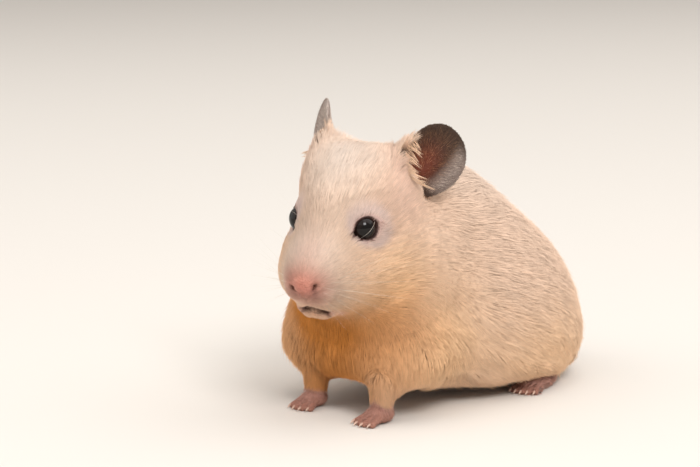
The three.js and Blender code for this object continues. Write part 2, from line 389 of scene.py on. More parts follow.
@dataclass(frozen=True)
class Eye:
    """An eyeball and the lids round it, placed in the head's frame."""

    side: Side
    middle: Place = (8.0, 0.8, -0.7)
    facing: Place = (0.80, -0.58, 0.16)
    radius: float = 3.3
    cornea: float = 0.22  # how far the cornea bulges
    opening: float = 58.5  # degrees from the eye's axis to the edge of the lids
    corner: float = 21.5  # degrees by which the front corner of the lids runs further
    lower_lid: float = 27.0  # degrees by which the lids cover more below
    rear_lid: float = 8.0  # degrees by which they cover more below and behind
    lid: float = 0.4  # radius of the lids' rolled edge
    gap: float = 0.16  # between the ball and the skin round it
    sunk: float = 0.45  # how far under the ball's surface the skin lies within the lids
    slopes: tuple[float, float] = (2.0, 0.3)  # of the face away from the lids: at most, and in the dish
    dish: tuple[float, float] = (6.0, 10.5)  # the dish fades out between these distances from the axis

    # Where the front corner is and where the lids cover more: an angle round the eye and a width, in radians
    CORNER: ClassVar[tuple[float, float]] = (0.23, 0.27)
    BELOW: ClassVar[tuple[float, float]] = (-0.86, 0.98)
    BEHIND: ClassVar[tuple[float, float]] = (-2.0, 0.9)

    @property
    def centre(self) -> Array:
        """The middle of the ball."""
        return HEAD.place(self.side.of(self.middle))

    @property
    def axes(self) -> Array:
        """Unit vectors: towards the nose, upwards, and out along the eye's axis."""
        out = unit(HEAD.aim(self.side.of(self.facing)))
        front = unit(HEAD.aim(np.array((0.0, -1.0, -0.15))))
        front = unit(front - (front @ out) * out)
        return np.stack([front, unit(np.cross(front, out) * self.side.value), out])

    def polar(self, points: Array) -> tuple[Array, Array, Array]:
        """Places round the eye.

        Args:
            points: Places of the animal.

        Returns:
            Distance from the ball's middle, degrees from its axis, and the lids' edge in degrees there.
        """
        local = (points - self.centre) @ self.axes.T
        far = np.maximum(np.linalg.norm(local, axis=1), 1e-9)
        angle = np.degrees(np.arccos(np.clip(local[:, 2] / far, -1.0, 1.0)))
        return far, angle, self.edge(np.arctan2(local[:, 1], local[:, 0]))

    def edge(self, around: Array) -> Array:
        """The lids' edge.

        Args:
            around: Angles around the eye, in radians from the front.

        Returns:
            Degrees from the axis to the edge at each angle.
        """
        corner, below, behind = (
            np.exp(2.0 * (np.cos(around - middle) - 1.0) / width**2)
            for middle, width in (self.CORNER, self.BELOW, self.BEHIND)
        )
        return self.opening + self.corner * corner - self.lower_lid * below - self.rear_lid * behind

    def dished(self, points: Array) -> Array:
        """Cuts a shallow dish into the skin below and behind the eye, down to the lids' edge.

        Args:
            points: Places on the skin.

        Returns:
            The new places.
        """
        local = (points - self.centre) @ self.axes.T
        around = np.arctan2(local[:, 1], local[:, 0])
        away = np.hypot(local[:, 0], local[:, 1])
        edge = np.radians(self.edge(around))
        rim = self.radius + 0.2
        steep, shallow = self.slopes
        slope = steep + (shallow - steep) * smoothstep(-0.3, 0.7, np.cos(around - self.BEHIND[0]))
        most = rim * np.cos(edge) + slope * np.maximum(away - rim * np.sin(edge), 0.0)
        fade = smoothstep(self.dish[1], self.dish[0], away)
        near = (away > rim * np.sin(edge) - 0.3) * (local[:, 2] > 0) * fade
        lower = np.maximum(local[:, 2] - most, 0.0) * near
        return points - self.axes[2] * lower[:, None]

    def opened(self, points: Array) -> Array:
        """Sinks the skin within the lids under the ball, and lifts it just off the ball outside them.

        Args:
            points: Places on the skin.

        Returns:
            The new places.
        """
        far, angle, edge = self.polar(points)
        away = unit(points - self.centre)
        inside = smoothstep(edge + 2.5, edge - 1.5, angle)
        most = self.radius + self.gap - (self.gap + self.sunk) * inside + 0.35 * (1.0 - inside)
        radius = np.where(inside > 0, np.minimum(far, most), far)
        outside = (inside <= 0) & (angle < 115.0)
        radius = np.where(outside, np.maximum(radius, self.radius + self.gap), radius)
        near = far < self.radius + 2.5
        return np.where(near[:, None], self.centre + away * radius[:, None], points)

    def rim(self, lift: float, count: int = 44) -> Array:
        """Places along the lids' edge, lifted off the ball."""
        around = np.linspace(-math.pi, math.pi, count, endpoint=False)
        angle = np.radians(self.edge(around))
        ring = np.stack([np.sin(angle) * np.cos(around), np.sin(angle) * np.sin(around), np.cos(angle)], -1)
        return self.centre + (ring @ self.axes) * (self.radius + lift)

    def build(self) -> bpy.types.Object:
        """The eyeball with its bulging cornea, and a value that falls from the pupil outwards.

        Returns:
            The ball, with the value stored on it as facing.
        """
        bm = bmesh.new()
        add_ball(bm, self.centre, self.radius, 72)
        facing = []
        for vertex in bm.verts:
            away = unit(np.array(vertex.co) / MM - self.centre)
            facing.append(float(away @ self.axes[2]))
            bulge = self.cornea * float(smoothstep(0.35, 1.0, np.array(facing[-1])))
            vertex.co += Vector(away * bulge * MM)
        made = object_from(f"eyeball_{self.side.label}", bm)
        made.data.shade_smooth()
        write_values(made.data, "facing", np.array(facing))
        return made


@dataclass(frozen=True)
class Ear:
    """A thin cupped ear on a frame of its own: z along it, -y out of its opening."""

    side: Side
    root: Place
    along: Place
    opening: Place
    cup: float
    length: float = 19.5
    width: float = 15.4
    thickness: float = 0.8
    lean: float = 1.5  # how far the tip leans back
    ridge: float = 0.55  # height of the ridge on the inner side
    flare: float = 0.15  # how much wider the front half is at its root
    mound: float = 1.0  # size of the furry fold along the front margin
    mound_behind: float = 1.0  # how far behind the leaf the fold lies
    silvered: float = 0.0  # how far the silver of the rear margin spreads over the whole ear

    # Radii of the fold by the share of the way up the ear, and of the notch by places on the unit ball
    FOLD: ClassVar[dict[float, float]] = {0.04: 3.0, 0.16: 2.6, 0.3: 2.1, 0.43: 1.4, 0.54: 0.7}
    NOTCH: ClassVar[dict[Place, float]] = {
        (0.8, 0.0, -0.6): 1.3,
        (0.3, 0.0, -0.93): 1.9,
        (-0.2, 0.0, -0.98): 1.5,
    }

    @property
    def axes(self) -> Array:
        """Unit vectors across, through and along the ear, in the animal's frame."""
        z = unit(self.side.of(self.along))
        x = unit(np.cross(z, self.side.of(self.opening)))
        return HEAD_LEVEL.aim(np.stack([x, np.cross(z, x), z]))

    @property
    def foot(self) -> Array:
        """The middle of the buried root."""
        return HEAD_LEVEL.place(self.side.of(self.root))

    def local(self, points: Array) -> Array:
        """Takes places of the animal to the ear's frame."""
        return (points - self.foot) @ self.axes.T

    def half_width(self, x: Array, rise: Array) -> Array:
        """Half the leaf's width at a height, on the side that x lies on."""
        flare = np.where(x * self.side.value < 0, 1.0 + self.flare * (1.0 - rise), 1.0)
        return self.width / 2.0 * (1.0 + 0.16 * (2.0 * rise - 1.0)) * (0.8 + 0.2 * rise) * flare

    def from_stem(self, points: Array) -> Array:
        """How far places lie from the lower part of the ear's middle line."""
        stem = np.array([self.foot, self.foot + self.axes[2] * self.length * 0.6])
        return along_path(points, stem)[0]

    def fold(self) -> Array:
        """The line of the furry fold along the front margin, in the animal's frame."""
        rise = np.array(list(self.FOLD))
        front = -self.side.value
        ball = np.stack([front * rounded(rise), 0 * rise, 2 * rise - 1], -1)
        return self.foot + (self.leaf(ball) + (0.1 * front, self.mound_behind, 0.0)) @ self.axes

    def silver(self, rise: Array, across: Array) -> Array:
        """Where the ear is silvery, from 0 to 1, by the shares of the way up and across it."""
        rear = 0.62 * smoothstep(0.3, 0.62, across * self.side.value)
        rear = rear * smoothstep(0.2, 0.38, rise) * smoothstep(0.98, 0.76, rise)
        return np.maximum(rear, self.silvered)

    def curl(self, across: Array, rise: Array) -> Array:
        """How far forward the leaf curls, by the shares of the way across and up it."""
        return across * across * self.cup * (1.25 - 0.7 * rise)

    def leaf(self, ball: Array) -> Array:
        """Takes points of a unit ball to the ear's surface, in its own frame.

        Args:
            ball: Points on the unit ball.

        Returns:
            Places of the cupped leaf, its margins curled and its inner side ridged.
        """
        x, y, z = ball.T
        rise = (z + 1.0) / 2.0
        crest = 0.1 + 0.5 * (rise - 0.45)
        ridge = self.ridge * np.exp(-(((x - crest) / 0.13) ** 2)) * smoothstep(0.05, 0.5, -y)
        ridge = ridge * smoothstep(0.15, 0.35, rise) * (1.0 - smoothstep(0.62, 0.85, rise))
        skin = np.clip(3.0 * y, -1.0, 1.0) * self.thickness / 2.0 - ridge
        through = skin - self.curl(x, rise) + self.lean * rise * rise
        return np.stack([x * self.half_width(x, rise), through, rise * self.length], -1)

    def add(self, bm: bmesh.types.BMesh) -> None:
        """Adds the ear to a bmesh: its leaf, its thick root, and the fold and notch in front.

        Args:
            bm: Where it goes.
        """
        piece = bmesh.new()
        bmesh.ops.create_uvsphere(piece, u_segments=64, v_segments=40, radius=1.0)
        leaf = self.foot + self.leaf(np.array([vertex.co for vertex in piece.verts])) @ self.axes
        for vertex, place in zip(piece.verts, leaf * MM):
            vertex.co = Vector(place)
        take(bm, piece)
        root = self.foot + self.leaf(np.array([(0.0, 0.0, -0.96)]))[0] @ self.axes
        add_beads(bm, np.array([root, self.foot]), (2.2, 2.4), 3)
        add_beads(bm, self.fold(), np.array(list(self.FOLD.values())) * self.mound, 16)
        notch = self.leaf(np.array(list(self.NOTCH)) * (-self.side.value, 1, 1))
        add_beads(bm, self.foot + (notch - (0.0, 0.9, 0.0)) @ self.axes, self.NOTCH.values(), 8)

    def reach(self, points: Array) -> tuple[Array, Array, Array]:
        """Where places lie on the ear.

        Args:
            points: Places of the animal.

        Returns:
            Share of the way up the ear, share of the way across it, and nearness to it from 0 to 1.
        """
        x, y, z = self.local(points).T
        rise = z / self.length
        half = self.half_width(x, rise)
        across = x / (half * rounded(rise, 0.02))
        through = y + self.curl(x / half, rise) - self.lean * rise * rise
        near = smoothstep(1.0, 0.65, through) * smoothstep(-1.8, -1.2, through)
        near = near * smoothstep(1.16, 1.04, np.abs(across))
        near = near * smoothstep(0.12, 0.21, rise) * smoothstep(1.08, 1.02, rise)
        near = near * smoothstep(0.9, 1.6, along_path(points, self.fold())[0])
        return rise, across, near


EYES = (
    Eye(Side.LEFT),
    Eye(Side.RIGHT, (7.1, 0.7, -0.5), opening=56.0, corner=24.0, lower_lid=12.0, rear_lid=3.0),
)
EARS = (
    Ear(
        Side.LEFT,
        root=(9.4, 17.4, 5.2),
        along=(0.51, 0.49, 0.81),
        opening=(0.6, -0.8, 0.0),
        cup=5.0,
        length=21.1,
        flare=0.42,
    ),
    Ear(
        Side.RIGHT,
        root=(7.0, 18.3, 7.9),
        along=(0.44, 0.16, 0.87),
        opening=(0.77, -0.64, 0.0),
        cup=3.2,
        mound=1.05,
        mound_behind=0.6,
        silvered=1.0,
    ),
)


@dataclass(frozen=True)
class Foot:
    """A foot flat on the floor: a sole, a row of toes and their claws."""

    name: str
    frame: Frame
    sole: Place  # half its size across, along and upwards
    back: float  # how far behind the frame's origin its middle lies, as y
    toes: int
    toe_length: float
    spread: float  # how far the outer toes turn outwards
    claw_length: float
    toe_radius: float = 0.85
    press: float = 0.15  # how far sole and toes are pressed into the floor

    # Down a claw: shares of the toe's place across, of the claw's length forward and of the toe's radius up
    CLAW_BEND: ClassVar[tuple[Place, ...]] = ((1.01, 0.55, 1.12), (1.02, 0.9, 0.8), (1.02, 1.12, 0.38))

    @property
    def middle(self) -> Place:
        """The middle of the sole in the foot's frame."""
        return (0.0, self.back, self.sole[2] - self.press)

    def toe_lines(self) -> list[Array]:
        """Root, knuckle and tip of each toe, in the foot's frame.

        Returns:
            Three places for each toe.
        """
        lines = []
        root_y = self.back - self.sole[1] * 0.55
        for share in np.linspace(-1.0, 1.0, self.toes):
            root = (share * self.sole[0] * 0.62, root_y, self.middle[2] - 0.2)
            tip_x = share * (self.sole[0] * 0.75 + self.spread)
            tip_y = root_y - self.toe_length * (1.0 - 0.22 * share * share)
            knuckle = ((root[0] + tip_x) / 2, (root_y + tip_y) / 2, self.toe_radius * 1.5)
            lines.append(np.array([root, knuckle, (tip_x, tip_y, self.toe_radius - self.press)]))
        return lines

    def add(self, bm: bmesh.types.BMesh) -> None:
        """Adds the sole, the toes with their pads, and the ankle to a bmesh.

        Args:
            bm: Where they go.
        """
        x, y, z = self.sole
        add_ellipsoid(bm, self.frame, self.middle, (x * 0.94, y, z))
        for line in self.toe_lines():
            add_beads(bm, self.frame.place(line), self.toe_radius * np.array((1.15, 0.98, 0.92)), 12)
            add_ball(bm, self.frame.place(line[2] + (0.0, 0.15, -0.1)), self.toe_radius * 0.98)
        ankle = np.array([(0.0, 1.0, 9.0), (0.0, 0.4, 2.6)])
        add_beads(bm, self.frame.place(ankle), (x * 0.92, x * 0.72), 8)

    def claws(self) -> list[Array]:
        """A curved path for each claw, from inside the toe to its point.

        Returns:
            Four places for each claw.
        """
        paths = []
        for line in self.toe_lines():
            x, y, _ = line[2]
            path = [(x, y + 0.1, self.toe_radius)]
            for across, forward, up in self.CLAW_BEND:
                path.append((x * across, y - self.claw_length * forward, self.toe_radius * up))
            paths.append(self.frame.place(np.array(path)))
        return paths


FORE = {Side.LEFT: ((14.0, -39.0), -6.0), Side.RIGHT: ((-8.2, -38.5), 4.0)}  # place, and degrees turned
ELBOW = {Side.LEFT: (15.0, -32.0, 16.0), Side.RIGHT: (-14.5, -32.0, 15.0)}
HIND = (19.0, 18.0, 14.0)  # place across and along, and degrees turned outwards


def feet() -> list[Foot]:
    """The four feet.

    Returns:
        The forepaw and hind foot of each side.
    """
    made = []
    for side in Side:
        (x, y), turned = FORE[side]
        frame = Frame((x, y + SHIFT, 0.0), (turned, 0.0, 0.0))
        made.append(Foot(f"forepaw_{side.label}", frame, (3.2, 3.6, 2.2), 0.0, 4, 4.0, 0.4, 1.6))
        x, y, turned = HIND
        frame = Frame((side.value * x, y + SHIFT, 0.0), (side.value * turned, 0.0, 0.0))
        made.append(Foot(f"hind_foot_{side.label}", frame, (3.3, 7.0, 2.2), -4.5, 5, 5.2, 0.7, 1.8))
    return made


TAIL = np.array([(0.0, 37.0, 10.0), (0.0, 43.0, 8.5), (0.0, 48.0, 6.0)]) + (0.0, SHIFT, 0.0)
TAIL_RADII = (1.7, 1.3, 0.8)
NOSE_PAD = ((0.2, -16.3, -4.3), (2.9, 2.1, 2.6))  # middle and radii in the head's frame
WHISKER_PAD = ((3.0, -13.2, -8.4), (3.3, 4.3, 3.5))
CHIN = ((0.0, -12.5, -15.5), (5.4, 3.1, 2.0))
PHILTRUM = [(0.2, -18.4, -6.2), (0.1, -18.0, -7.6), (0.0, -17.3, -9.4)]
MOUTH = [(0.0, -15.7, -12.8), (1.2, -15.3, -13.8), (2.9, -14.4, -15.1), (4.7, -12.3, -16.2)]
NOSTRIL = [(2.7, -0.4, -0.1), (2.55, -0.5, -0.7), (2.0, -0.9, -1.4)]  # in the nose's own frame
UNDER_NOSE = [(3.0, -17.4, -6.4), (2.2, -17.9, -7.3), (1.4, -18.0, -8.1), (0.4, -17.8, -8.7)]
# The temple lies in a hollow: its thin fur shows the lilac skin there and is darkened with painted shade too.
TEMPLE = ((13.5, 9.5, 0.0), (6, 7, 6))  # middle and reach of the thin fur between eye and ear
LOWER_LIP = (0.0, 0.1, -0.5)  # from the mouth line to the edge of the lip below it
MOUTH_GROOVE = (MOUTH, (-0.25, 0.75, 0.5), 1.5)  # path, direction inwards and depth
NOSTRIL_GROOVE = (NOSTRIL, (-0.45, 0.85, 0.0), 1.3)


@dataclass(frozen=True)
class Patch:
    """A soft patch of a marking or a shape, alike on both sides of the frame that it lies in."""

    strength: float
    frame: Frame
    middle: Place
    reach: Place

    def over(self, points: Array) -> Array:
        """How strong the patch is at each place."""
        return self.strength * blob(folded(self.frame.local(points)), self.middle, self.reach)


PATCHES = {
    Mask.PALE: (
        Patch(1.0, HEAD, (0, 7, 12), (11, 13, 8)),  # crown
        Patch(0.7, HEAD, (2, -11, -1), (5, 8, 5)),  # snout
        Patch(0.6, HEAD, (5, -13, -10), (4, 5, 5)),  # whisker pads
        # The chin's patch is partly its own paler fur and partly painted light on the underside below the
        # mouth.
        Patch(0.7, HEAD, (2.5, -13.0, -15.5), (5, 4, 3)),  # chin
        Patch(0.5, TRUNK, (0, 4, 2), (18, 30, 5)),  # belly
    ),
    # Partly the coat's own warmer tone; on the chest and flanks partly painted warm light, as if bounced up
    # from the ground
    Mask.WARM: (
        Patch(0.75, HEAD, (12, -1, -12), (6, 10, 7)),  # cheeks
        Patch(0.8, HEAD, (5, -6, -18), (9, 8, 5)),  # jaw
        Patch(0.8, TRUNK, (20, -28, 22), (10, 12, 14)),  # shoulders
        Patch(0.9, TRUNK, (0, -40, 18), (18, 12, 18)),  # chest
        Patch(0.8, TRUNK, (28, 6, 12), (14, 34, 12)),  # flanks
    ),
    # Painted shade, warm as from light bounced up from below: under the head, on the belly, over the
    # shoulders and in the hollow of the temple
    Mask.SHADE: (
        Patch(0.9, HEAD, (4, -3, -22), (11, 9, 5)),  # throat
        Patch(1.0, TRUNK, (0, -42, 12), (16, 12, 16)),  # breast
        Patch(1.0, TRUNK, (0, -6, 0), (20, 34, 6)),  # belly
        Patch(0.33, TRUNK, (19, -37, 23), (8, 8, 10)),  # shoulders
        Patch(0.28, HEAD, *TEMPLE),
    ),
}
PALE_BACK = Patch(0.65, TRUNK, (0, 0, 60), (16, 34, 16))  # behind the head only
BLUSHES = (
    Patch(1.0, HEAD, (1.5, -17.0, -6.5), (3.8, 3.6, 4.2)),  # muzzle
    Patch(0.35, HEAD, (0, -13, 0), (4, 6, 4)),  # bridge of the nose
    Patch(0.45, HEAD, (9.5, 14.5, 2.5), (4, 4, 4)),  # roots of the ears
)
MUZZLE_SHADOWS = (
    Patch(0.32, HEAD, (1.4, -17.8, -7.8), (3.2, 1.8, 1.8)),  # under the nose
    Patch(0.16, HEAD, (4.6, -15.2, -7.2), (3.0, 2.8, 2.8)),  # whisker pads
)
PINK_NOSE = Patch(1.0, NOSE, (0.0, -0.6, 0.6), (3.6, 2.8, 3.1))
BARE_NOSE = Patch(1.0, NOSE, (0.0, -0.9, 0.8), (3.6, 2.4, 3.1))


class Markings:
    """Where each colour of the animal lies, and where shade is painted, worked out from places on it for skin
    and coat alike.
    """

    @staticmethod
    def masks(points: Array, normals: Array) -> dict[Mask, Array]:
        """Values of every marking.

        Args:
            points: Places on the animal.
            normals: The skin's outward directions there.

        Returns:
            For each marking, a number from 0 to 1 at each place.
        """
        head = folded(HEAD.local(points))
        values = {mask: sum(patch.over(points) for patch in patches) for mask, patches in PATCHES.items()}
        in_head = smoothstep(28.0, 18.0, head[:, 1]) * smoothstep(-26.0, -20.0, head[:, 2])
        values[Mask.PALE] += PALE_BACK.over(points) * (1.0 - in_head)
        values[Mask.LILAC] = Markings._lilac(head, points)
        values[Mask.BLUSH] = Markings._blush(head, points)
        # The paws' own mauve pink, made darker than the muzzle's partly as painted shade
        values[Mask.PAW] = smoothstep(7.8, 4.8, Markings.wrist(points)) * Markings.near_feet(points)
        values[Mask.NOSE] = PINK_NOSE.over(points) ** 0.7
        values[Mask.DARK] = Markings._dark(head, points)
        values[Mask.EAR], values[Mask.EAR_RED], values[Mask.SILVER] = Markings._ears(points, normals)
        return {mask: np.clip(rows, 0.0, 1.0) for mask, rows in values.items()}

    @staticmethod
    def _lilac(head: Array, points: Array) -> Array:
        """Thinly haired skin showing round the eyes and towards the ears."""
        total = 0.4 * blob(head, *TEMPLE)
        for eye in EYES:
            far, angle, edge = eye.polar(points)
            ring = 0.85 * smoothstep(edge + 50.0, edge + 10.0, angle)
            total = np.maximum(total, ring * smoothstep(eye.radius + 4.0, eye.radius + 1.6, far))
        return total

    @staticmethod
    def _blush(head: Array, points: Array) -> Array:
        """Pink skin of muzzle, lips, tail and the roots of the ears."""
        lips = 0.7 * np.exp(-((along_path(head, MOUTH)[0] / 1.3) ** 2))
        tail = smoothstep(3.4, 2.2, along_path(points, TAIL[1:])[0])
        return np.maximum.reduce([lips, tail, *(patch.over(points) for patch in BLUSHES)])

    @staticmethod
    def wrist(points: Array) -> Array:
        """Height above the floor, made uneven so that the fur ends raggedly above the feet."""
        return points[:, 2] + 1.5 * wobble(points, 5.0, 31)

    @staticmethod
    def near_feet(points: Array) -> Array:
        """1 on the feet, falling to 0 a few millimetres from them.

        Args:
            points: Places on the animal.

        Returns:
            A number for each place.
        """
        total = np.zeros(len(points))
        for foot in FEET:
            local = foot.frame.local(points)
            scaled = (local - (0.0, foot.back - 2.4, 0.0)) / (foot.sole[0] + 2.6, foot.sole[1] + 5.6, 6.4)
            ragged = np.linalg.norm(scaled, axis=1) + 0.13 * wobble(points, 2.6, 31)
            total = np.maximum(total, smoothstep(1.12, 0.84, ragged))
        return total

    @staticmethod
    def _dark(head: Array, points: Array) -> Array:
        """Painted shade in the nostrils, the mouth line and the creases of the muzzle, and the dark rims of
        the eyelids and roots of the whiskers.

        Args:
            head: Places in the head's frame, folded onto the left.
            points: The same places on the animal.

        Returns:
            How dark each place is.
        """
        # Painted shade in the crease of the mouth and on the lip below it
        gap, share = along_groove(head, *MOUTH_GROOVE)
        gap = np.minimum(gap, along_path(head, np.array(MOUTH) + LOWER_LIP)[0])
        mouth = 0.85 * np.exp(-((gap / (1.2 - 0.8 * share)) ** 4)) * smoothstep(1.0, 0.7, share)
        # Painted shade in the crease under the nose, down the philtrum and on the whisker pads
        crease = 0.55 * np.exp(-((along_path(head, UNDER_NOSE)[0] / 0.5) ** 2))
        split = 0.35 * np.exp(-((along_path(head, PHILTRUM)[0] / 0.34) ** 2))
        split = np.maximum.reduce([split, *(patch.over(points) for patch in MUZZLE_SHADOWS)])
        # Painted shade inside the nostrils
        pad = folded(NOSE.local(points))
        gap, share = along_groove(pad, *NOSTRIL_GROOVE)
        nostril = np.exp(-((gap / (0.62 - 0.25 * share)) ** 4))
        for root in whisker_roots():
            split = np.maximum(split, 0.8 * blob(head, root, 0.4))
        lids = np.zeros(len(points))
        for eye in EYES:
            far, angle, edge = eye.polar(points)
            lid = smoothstep(edge + 8.0, edge + 3.5, angle)
            lids = np.maximum(lids, lid * smoothstep(eye.radius + 0.9, eye.radius + 0.5, far))
        return np.maximum.reduce([mouth, crease, split, nostril, lids])

    @staticmethod
    def _ears(points: Array, normals: Array) -> tuple[Array, Array, Array]:
        """The dark of the ears, the red of their bowls, and the silver of their rear margins.

        Args:
            points: Places on the animal.
            normals: The skin's outward directions there.

        Returns:
            Three numbers for each place.
        """
        dark, red, silver = np.zeros((3, len(points)))
        for ear in EARS:
            rise, across, near = ear.reach(points)
            rear = across * ear.side.value
            inner = smoothstep(-0.1, 0.4, -(normals @ ear.axes[1]))
            start = 0.22 - 0.06 * inner - 0.04 * smoothstep(0.0, 0.5, rear)
            dark = np.maximum(dark, near * smoothstep(start, start + 0.2 - 0.1 * inner, rise))
            bowl = np.exp(-(((rear + 0.12) / 0.5) ** 2) - ((rise - 0.4) / 0.27) ** 2)
            red = np.maximum(red, near * inner * np.clip(1.3 * bowl, 0.0, 1.0))
            silver = np.maximum(silver, near * ear.silver(rise, across) * (1.0 - 0.7 * inner * bowl))
        return dark, red, silver


FEET = feet()


def whisker_roots() -> list[Place]:
    """Where the whiskers of the left side grow, in the head's frame, in rows down the muzzle."""
    return [
        (3.6 + 1.1 * place, -15.6 + 1.5 * place, -5.6 - 1.35 * row) for row in range(4) for place in range(4)
    ]


class Lie:
    """Which way the hair lies over the body, from a few combed directions that are blended."""

    HEAD_STROKES: tuple[tuple[Place, Place], ...] = (
        ((0, -14, 0.5), (0, 1, 0.45)),
        ((0, -6, 3.5), (0, 1, 0.45)),
        ((0, 1, 8), (0, 1, 0.6)),
        ((0, 8, 12), (0, 1, 0)),
        ((0, 17, 11.5), (0, 1, -0.3)),
        ((4, -14, -5), (0.45, 1, 0.1)),
        ((5, -13, -10), (0.55, 1, -0.25)),
        ((7, -8, -5), (0.45, 1, -0.15)),
        ((5.5, -4, 2.5), (0.35, 1, 0.55)),
        ((8, 2, 5), (0.25, 1, 0.5)),
        ((9, -3, -4.5), (0.35, 1, -0.4)),
        ((10.5, 5, -0.5), (0.15, 1, 0)),
        ((11, 9, 4), (0.1, 1, 0.2)),
        ((7, 10, 11), (0.15, 1, 0.15)),
        ((12.5, 10, -6), (0.05, 1, -0.35)),
        ((13, 2, -10), (0.15, 1, -0.45)),
        ((13, 6, -16), (0, 1, -0.7)),
        ((8, -5, -17), (0.3, 1, -0.35)),
        ((4, -13, -14), (0.35, 1, -0.5)),
        ((0, -14, -16), (0, 1, -0.6)),
        ((0, -4, -20), (0, 1, -0.5)),
    )
    BODY_STROKES: tuple[tuple[Place, Place], ...] = (
        ((0, -18, 59), (0, 1, 0.1)),
        ((0, -4, 61), (0, 1, -0.1)),
        ((0, 14, 54), (0, 1, -0.5)),
        ((0, 32, 40), (0, 0.8, -1)),
        ((0, 44, 22), (0, 0.25, -1)),
        ((0, 42, 8), (0, 0.3, -1)),
        ((14, 0, 55), (0.1, 1, -0.3)),
        ((18, -22, 46), (0.15, 1, -0.45)),
        ((22, 8, 42), (0.1, 1, -0.5)),
        ((26, -4, 28), (0.05, 1, -0.45)),
        ((27, 20, 28), (0, 1, -0.8)),
        ((20, 36, 22), (-0.2, 0.8, -1)),
        ((26, 22, 12), (0, 0.7, -1)),
        ((25, -4, 12), (0, 1, -0.6)),
        ((22, -28, 26), (0.1, 0.7, -0.9)),
        ((20, -34, 16), (0.05, 0.15, -1)),
        ((15, -37, 8), (0, 0.1, -1)),
        ((0, -42, 28), (0, 0.1, -1)),
        ((8, -42, 22), (0.15, 0.2, -1)),
        ((0, -38, 12), (0, 0.7, -1)),
        ((0, -20, 5), (0, 1, -0.1)),
        ((0, 10, 3), (0, 1, 0)),
        ((16, 0, 4), (0.3, 1, -0.1)),
    )

    def __init__(self) -> None:
        """Gathers the strokes of both sides in the animal's frame."""
        places, directions = [], []
        for frame, strokes in ((HEAD, self.HEAD_STROKES), (TRUNK, self.BODY_STROKES)):
            for place, direction in strokes:
                for side in Side if place[0] else (Side.LEFT,):
                    places.append(frame.place(side.of(place)))
                    directions.append(unit(frame.aim(side.of(direction))))
        self.places = np.array(places)
        self.directions = np.array(directions)

    def over(self, points: Array, normals: Array) -> Array:
        """The lie of the hair at places on the skin.

        Args:
            points: Places on the skin.
            normals: The skin's outward directions there.

        Returns:
            A unit direction along the skin for each place.
        """
        flow = np.zeros_like(points)
        total = np.zeros(len(points))
        for place, direction in zip(self.places, self.directions):
            weight = 1.0 / (((points - place) ** 2).sum(1) + 6.0) ** 2
            flow += weight[:, None] * direction
            total += weight
        flow /= total[:, None]
        for eye in EYES:
            away = points - eye.centre
            pull = 0.8 * smoothstep(eye.radius + 3.0, eye.radius + 0.6, np.linalg.norm(away, axis=1))
            flow = flow + unit(away) * pull[:, None]
        for ear in EARS:
            rise, across, near = ear.reach(points)
            upward = 0.85 * smoothstep(8.0, 4.0, ear.from_stem(points))[:, None]
            flow = flow * (1.0 - upward) + ear.axes[2] * upward
            inner = smoothstep(0.0, 0.4, -(normals @ ear.axes[1]))
            along = 0.6 + (1.3 * (rise - 0.35) - 0.6) * inner
            fan = np.stack([across * 0.9, np.zeros_like(across), along], -1)
            flow = flow * (1.0 - near[:, None]) + unit(fan) @ ear.axes * near[:, None]
        flow = flow - (flow * normals).sum(1, keepdims=True) * normals
        return unit(flow)


BODY_COAT = 3.0  # the coat's depth on the body, and the least on the face
FACE_COAT = 0.75
DEEPER_COAT = (
    Patch(1.5, HEAD, (0, 8, 10), (12, 10, 8)),  # crown
    Patch(2.0, HEAD, (12, 3, -12), (7, 8, 8)),  # cheeks
    Patch(1.6, HEAD, (5, 0, -19), (8, 8, 6)),  # jaw
)
THIN_NOSE = Patch(0.85, HEAD, (0, -18, -5), (5, 4, 5))


def coat_depth(points: Array) -> Array:
    """How far the skin lies under the outside of the coat.

    Args:
        points: Places on the outside of the coat.

    Returns:
        A depth at each place.
    """
    head = folded(HEAD.local(points))
    body = folded(TRUNK.local(points))
    on_head = smoothstep(20.0, 6.0, head[:, 1]) * smoothstep(-30.0, -20.0, head[:, 2])
    snout = smoothstep(-4.0, -13.0, head[:, 1])
    face = FACE_COAT + sum(patch.over(points) for patch in DEEPER_COAT)
    face = face * (1.0 - 0.45 * snout) * (1.0 - THIN_NOSE.over(points))
    low = smoothstep(9.0, 3.0, body[:, 2])
    arm = smoothstep(20.0, 8.0, body[:, 2]) * smoothstep(-24.0, -31.0, body[:, 1])
    depth = (BODY_COAT * (1.0 - on_head) + face * on_head) * (1.0 - 0.5 * low) * (1.0 - 0.72 * arm)
    for eye in EYES:
        far = np.linalg.norm(points - eye.centre, axis=1)
        depth = depth * (0.3 + 0.7 * smoothstep(eye.radius + 0.4, eye.radius + 4.5, far))
    for ear in EARS:
        near = ear.reach(points)[2]
        depth = depth * (1.0 - 0.9 * near) * (0.3 + 0.7 * smoothstep(4.5, 11.0, ear.from_stem(points)))
        depth = depth * (0.35 + 0.65 * smoothstep(1.5, 5.0, along_path(points, ear.fold())[0]))
    return depth


# ---- Skin ----

LIMB_NODES = tuple(f"{part}_{side.label}" for part in ("upper_arm", "forearm", "thigh") for side in Side)
CORE_NODES = ("head", "neck", "trunk", "nose", *LIMB_NODES)
SKIN_NODES = (
    *CORE_NODES,
    "tail",
    *(f"{part}_{side.label}" for part in ("ear", "forepaw", "hind_foot") for side in Side),
)


